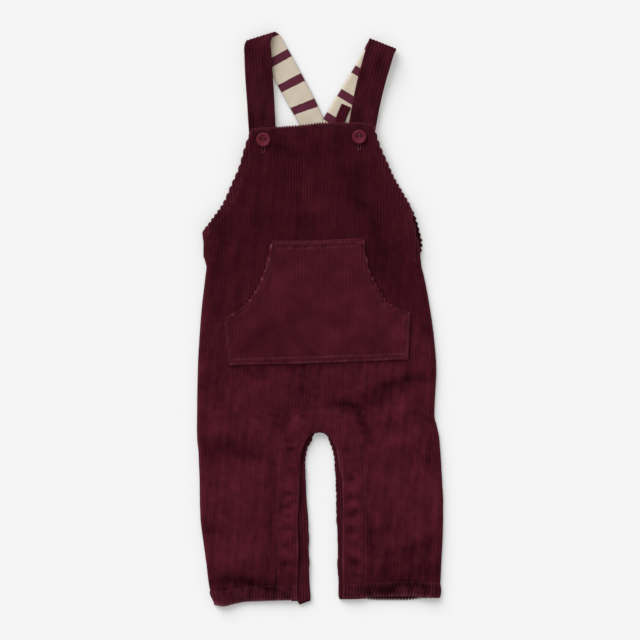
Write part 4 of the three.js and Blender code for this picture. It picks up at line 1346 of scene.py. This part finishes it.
def strap(name, stations, band, side, seed):
    """A strap's corduroy and its lining, both ending where the two straps meet at the back."""
    left, right, width, out = ribbon(stations, STRAP_ROWS)
    middle = (left + right) / 2
    back_run = np.arange(len(middle)) > np.argmax(middle[:, 1])
    nearest = np.argmin(np.hypot(*(middle[:, :2] - band).T) + 1000 * ~back_run)
    run = run_along(middle)
    run = (run - run[nearest])[:, None]

    wale = np.arange(STRAP_WALES * FINE + 1) / FINE
    share = (wale / STRAP_WALES)[None, :]
    teeth = pile_at(wale)
    from_edge = np.minimum(share, 1 - share) * width[:, None]
    full = np.maximum(rounded(from_edge, 1.6), 0.2)
    bounce = 1 + 0.13 * unrest(wale / 2.2, run / 9, seed) + 0.07 * unrest(wale, run / 3.5, seed + 1)
    face = mix(left[:, None], right[:, None], share[..., None])
    standing = np.minimum(mix(0.68, teeth * bounce, 0.85), 1.1)
    thick = (GROUND * 0.95 + PILE * standing) * full + SEAM_GAP / 2
    outer = mitred(face + out[:, None] * thick[..., None], back_run, side)
    inner = mitred((face + out[:, None] * (SEAM_GAP / 2))[:, ::FINE], back_run, side)
    nap_and_shade = -0.34 + 0.07 * unrest(share * 1.4, run / 30, seed + 3)
    marks = {
        "crest": np.clip(0.08 + 0.92 * teeth * bounce * (0.55 + 0.45 * full), 0, 1),
        "worn_and_lit": 0.1 * bell(from_edge, 0.9) * teeth + 0.1,
        "nap_and_shade": nap_and_shade + 0.05 * unrest(share * 3, run / 11, seed + 4),
    }
    cloth = shell(
        name + "_cloth",
        outer[::-1],
        inner[::-1],
        corduroy,
        turned_over(marks, outer),
        HIDDEN,
    )

    share = np.linspace(0, 1, LINING_COLUMNS)[None, :]
    face = mix(left[:, None], right[:, None], share[..., None])
    full = np.maximum(rounded(np.minimum(share, 1 - share) * width[:, None], 1.5), 0.2)
    ripple = 0.12 * unrest(share * 4, run / 14, seed + 2)
    thick = SEAM_GAP / 2 + (LINING + ripple) * full
    near_side = mitred(face - out[:, None] * (SEAM_GAP / 2), back_run, side)
    far_side = mitred(face - out[:, None] * thick[..., None], back_run, side)
    marks = turned_over({"along": run, "across": share * width[:, None]}, far_side)
    lining = shell(
        name + "_jersey",
        near_side[::-1],
        far_side[::-1],
        jersey,
        marks,
        marks,
    )
    return cloth, lining


strap_left, lining_left = strap("strap_left", LEFT_STRAP, (-40.9, 278.1), -1, 61)
strap_right, lining_right = strap("strap_right", RIGHT_STRAP, (45, 259), 1, 71)
# How long each strap is along its middle, in metres, from its front end to where the two meet
LEFT_RUN = 0.262
RIGHT_RUN = 0.247
for piece, node, carrier, run in (
    (strap_left, "strap_left", lining_left, LEFT_RUN),
    (lining_left, "strap_left_lining", strap_left, LEFT_RUN),
    (strap_right, "strap_right", lining_right, RIGHT_RUN),
    (lining_right, "strap_right_lining", strap_right, RIGHT_RUN),
):
    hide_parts(node)


# The hanging loop
# A narrow strip of corduroy folded in three and pressed flat, caught in the seam where the straps
# meet and lying up over the right strap's lining.
LOOP = [(13.4, 203, 23.2, 199, 4.2), (18, 217, 28, 213, 3.6), (23, 228.6, 32.8, 224.4, 3.4)]
LOOP_WALES = 3
LOOP_ROWS = 40
LOOP_RUN = 27
LOOP_WIDTH = 10

left, right, width, out = ribbon(LOOP, LOOP_ROWS)
wale = np.arange(LOOP_WALES * FINE + 1) / FINE
share = (wale / LOOP_WALES)[None, :]
teeth = pile_at(wale)
run = np.linspace(0, LOOP_RUN, LOOP_ROWS)[:, None]
from_end = np.minimum(run, LOOP_RUN - run) + 0.2
full = np.minimum(np.minimum(share, 1 - share) * LOOP_WIDTH, from_end)
full = np.maximum(rounded(full, 1.5), 0.2)
face = mix(left[:, None], right[:, None], share[..., None])
outer = face + out[:, None] * ((1.1 + 0.7 * teeth) * full)[..., None]
marks = {"crest": np.clip(teeth * full, 0, 1)[::-1], "worn_and_lit": 0.03, "nap_and_shade": -0.2}
loop = shell(
    "loop_cloth", outer[::-1], face[::-1, ::FINE], corduroy, marks, HIDDEN
)
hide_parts("hanging_loop")


# The buttons
# Two-hole buttons of dark red resin with a rolled rim round a dished middle, each sewn to its
# strap and pushed up through a worked slit in the bib.
BUTTON_RADIUS = 7.6
BUTTON_THICK = 2.8
BUTTON_SEGMENTS = 72
BUTTON_SEAT = 0.15
BUTTON_FLOOR = 0.62
HOLE_RADIUS = 1.15
HOLE_SIDES = 24
HOLES_APART = 3.7
HOLES_UP = 0.6
DRILL_LENGTH = 12
THREAD_RADIUS = 0.22
BAR_PITCH = 0.42
BAR_END = 1.9
BUTTON_COLOUR = (0.098, 0.0105, 0.0200, 1)
BUTTON_PROFILE = [
    (0.02, 0.0),
    (0.66, 0.0),
    (0.82, 0.1),
    (0.94, 0.26),
    (0.995, 0.48),
    (0.99, 0.68),
    (0.945, 0.86),
    (0.88, 0.96),
    (0.8, 1.0),
    (0.72, 0.965),
    (0.655, 0.86),
    (0.6, 0.74),
    (0.5, 0.66),
    (0.3, 0.62),
    (0.02, 0.61),
]


def resin_finish():
    """Moulded resin with a soft shine, faint swirls and fine scuffs on the rim."""
    resin = Finish("button_resin")
    swirl = resin.noise(resin.place(160, 90, 160), 3, 0.6)
    scuffs = resin.noise(resin.place(1500, 1500, 1500), 3, 0.7)
    pale = tuple(c * 1.45 for c in BUTTON_COLOUR[:3]) + (1,)
    colour = resin.blend((swirl - 0.3) * 1.6, BUTTON_COLOUR, pale)
    return resin.surface(
        base_color=colour,
        roughness=0.36 + scuffs * 0.18,
        normal=resin.relief(scuffs, 0.04, 0.4),
        specular_ior_level=0.1,
    )


def thread_finish(name, dark, pale):
    """Twisted polyester thread, glossier than the cloth."""
    twisted = Finish(name)
    twist = twisted.noise(twisted.place(2400, 2400, 2400), 2)
    colour = twisted.blend(twist, dark, pale)
    nubs = twisted.relief(twist, 0.1, 0.5)
    return twisted.surface(base_color=colour, roughness=0.7, normal=nubs, specular_ior_level=0.2)


resin = resin_finish()
thread = thread_finish("thread", (0.042, 0.006, 0.011, 1), (0.078, 0.011, 0.02, 1))
faded_thread = thread_finish("faded_thread", (0.06, 0.0095, 0.017, 1), (0.095, 0.019, 0.03, 1))
pale_thread = thread_finish("pale_thread", (0.08, 0.015, 0.025, 1), (0.13, 0.029, 0.043, 1))


def tree_under(piece):
    """A piece's faces in millimetres, to be met by a line from above."""
    mesh = piece.data
    points = [v.co / MM for v in mesh.vertices]
    return BVHTree.FromPolygons(points, [tuple(p.vertices) for p in mesh.polygons])


def height_on(tree, x, y):
    """The height of a piece's upper face at a place, or None beside the piece."""
    hit = tree.ray_cast(Vector((x, y, 60)), Vector((0, 0, -1)))[0]
    return None if hit is None else hit.z


def threads(name, runs, radius, finish, sink=0.0, sides=5):
    """Short lengths of thread, each through its own points, joined into one mesh."""
    points, faces = [], []
    for run in runs:
        run = np.array(run, float)
        ahead = np.gradient(run, axis=0)
        ahead /= np.linalg.norm(ahead, axis=1)[:, None]
        side = np.cross(ahead, (0, 0, 1))
        side /= np.linalg.norm(side, axis=1)[:, None]
        up = np.cross(side, ahead)
        taper = np.ones(len(run))
        taper[[0, -1]] = 0.35
        drop = np.zeros(len(run))
        drop[[0, -1]] = sink
        first = len(points)
        for k, place in enumerate(run):
            for s in range(sides):
                angle = math.tau * s / sides
                way = side[k] * math.cos(angle) + up[k] * math.sin(angle)
                points.append(place - (0, 0, drop[k]) + way * radius * taper[k])
        for k in range(len(run) - 1):
            for s in range(sides):
                a, b = first + k * sides + s, first + k * sides + (s + 1) % sides
                faces.append([a, a + sides, b + sides, b])
        last = first + (len(run) - 1) * sides
        faces.append([first + s for s in range(sides)])
        faces.append([last + s for s in reversed(range(sides))])
    return mesh_of(name, np.array(points), faces, finish)


def seat_of(middle_x, middle_y):
    """How far a button leans with the cloth under it, and the height that it lies at."""
    reach = BUTTON_RADIUS * 0.9
    steps = np.linspace(-reach, reach, 7)
    tops = [max(height_on(front_tree, middle_x + dx, middle_y + dy) for dx in steps) for dy in steps]
    tilt = math.atan2(tops[-1] - tops[0], 2 * reach)
    return tilt, max(top - dy * math.tan(tilt) for top, dy in zip(tops, steps)) + BUTTON_SEAT


def turned_disc():
    """The button's points and faces: its profile turned once round."""
    spin = np.arange(BUTTON_SEGMENTS) * math.tau / BUTTON_SEGMENTS
    profile = np.array(BUTTON_PROFILE) * (BUTTON_RADIUS, BUTTON_THICK)
    rings = [
        np.stack([r * np.cos(spin), r * np.sin(spin), np.full(BUTTON_SEGMENTS, h)], -1)
        for r, h in profile
    ]
    faces = []
    for k in range(len(profile) - 1):
        for s in range(BUTTON_SEGMENTS):
            a, b = k * BUTTON_SEGMENTS + s, k * BUTTON_SEGMENTS + (s + 1) % BUTTON_SEGMENTS
            faces.append([a, b, b + BUTTON_SEGMENTS, a + BUTTON_SEGMENTS])
    faces.append(list(reversed(range(BUTTON_SEGMENTS))))
    faces.append([(len(profile) - 1) * BUTTON_SEGMENTS + s for s in range(BUTTON_SEGMENTS)])
    return np.concatenate(rings), faces


def drill(button, place):
    """Cut a hole for the thread through a button."""
    bpy.ops.mesh.primitive_cylinder_add(
        vertices=HOLE_SIDES, radius=HOLE_RADIUS * MM, depth=DRILL_LENGTH * MM, location=place
    )
    bit = bpy.context.object
    cut = button.modifiers.new("hole", "BOOLEAN")
    cut.object = bit
    cut.operation = "DIFFERENCE"
    cut.solver = "EXACT"
    graph = bpy.context.evaluated_depsgraph_get()
    drilled = bpy.data.meshes.new_from_object(button.evaluated_get(graph))
    button.modifiers.clear()
    button.data = drilled
    bpy.data.objects.remove(bit)


def strand(shift):
    """A strand from hole to hole, over a button that lies level with its middle at nothing."""
    half = HOLES_APART / 2
    floor = BUTTON_THICK * BUTTON_FLOOR
    return [
        (-half, HOLES_UP + shift, floor - 1.2),
        (-half + 0.55, HOLES_UP + shift, floor + 0.02),
        (0, HOLES_UP + shift * 1.3, floor + 0.16),
        (half - 0.55, HOLES_UP + shift, floor + 0.02),
        (half, HOLES_UP + shift, floor - 1.2),
    ]


def worked_slit(middle_x, middle_y, seat):
    """Bars of thread close together along both sides of a slit, and three across its lower end."""
    foot, head = middle_y - SLIT["below"], middle_y + SLIT["above"]
    bars = []
    for step in np.arange(foot - 0.6, head + 0.6, BAR_PITCH):
        for side in (-1, 1):
            top = height_on(front_tree, middle_x + side * BAR_END, step) or seat
            bars.append(
                [
                    (middle_x + side * away, step, top + 0.1 - 0.25 * (away < 0.6))
                    for away in (0.55, 1.0, 1.5, BAR_END)
                ]
            )
    for step in (-0.4, 0.1, 0.6):
        top = height_on(front_tree, middle_x + BAR_END, foot - step) + 0.2
        bars.append([(middle_x + dx, foot - step, top) for dx in (-1.8, -0.6, 0.6, 1.8)])
    return bars


front_tree = tree_under(front)
for side, (middle_x, middle_y) in BUTTONS.items():
    tilt, seat = seat_of(middle_x, middle_y)
    level, slope = math.cos(tilt), math.sin(tilt)
    lean = np.array([[1, 0, 0], [0, level, -slope], [0, slope, level]])
    centre = np.array([middle_x, middle_y, seat])
    points, faces = turned_disc()
    points = points @ lean.T + centre
    button = mesh_of("button_" + side + "_disc", points, faces, resin)
    for hole in (-1, 1):
        place = lean @ np.array([hole * HOLES_APART / 2, HOLES_UP, 0]) + centre
        drill(button, place * MM)
    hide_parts("button_" + side)
    strands = [[lean @ np.array(p) + centre for p in strand(shift)] for shift in (-0.28, 0.28)]
    threads("button_" + side + "_thread", strands, THREAD_RADIUS, pale_thread)
    worked = worked_slit(middle_x, middle_y, seat)
    threads("buttonhole_" + side, worked, THREAD_RADIUS, pale_thread)


# The topstitching
# Burgundy thread in runs of short stitches, which pulls the ribs down along the turned edges, the
# hems, the pocket and the strip round the inner legs.
STITCH = 3.0
STITCH_GAP = 0.7


def topstitch(name, lines, tree, finish):
    """Runs of stitches that lie on a piece's upper face along lines seen from above."""
    runs = []
    for line in lines:
        line = np.array(line)
        along = run_along(line)
        for start in np.arange(0.5, along[-1] - STITCH, STITCH):
            at = start + np.linspace(0, STITCH - STITCH_GAP, 5)
            places = np.stack([np.interp(at, along, line[:, 0]), np.interp(at, along, line[:, 1])], -1)
            heights = [height_on(tree, *place) for place in places]
            if None in heights:
                continue
            top = np.array(heights)
            top = np.maximum(top, np.mean(top) - 0.1) + 0.08
            runs.append(np.column_stack([places, top]))
    return threads(name, runs, THREAD_RADIUS, finish, sink=0.3)


placket_seam = front_seams.pop("placket")
topstitch("front_topstitch", front_seams.values(), front_tree, faded_thread)
topstitch("inner_leg_topstitch", [placket_seam], front_tree, faded_thread)
pocket_tree = tree_under(pocket)
quiet_seams = [pocket_seams.pop(key) for key in ("left", "left_curve", "right_curve")]
topstitch("pocket_side_topstitch", quiet_seams, pocket_tree, thread)
topstitch("pocket_topstitch", pocket_seams.values(), pocket_tree, pale_thread)
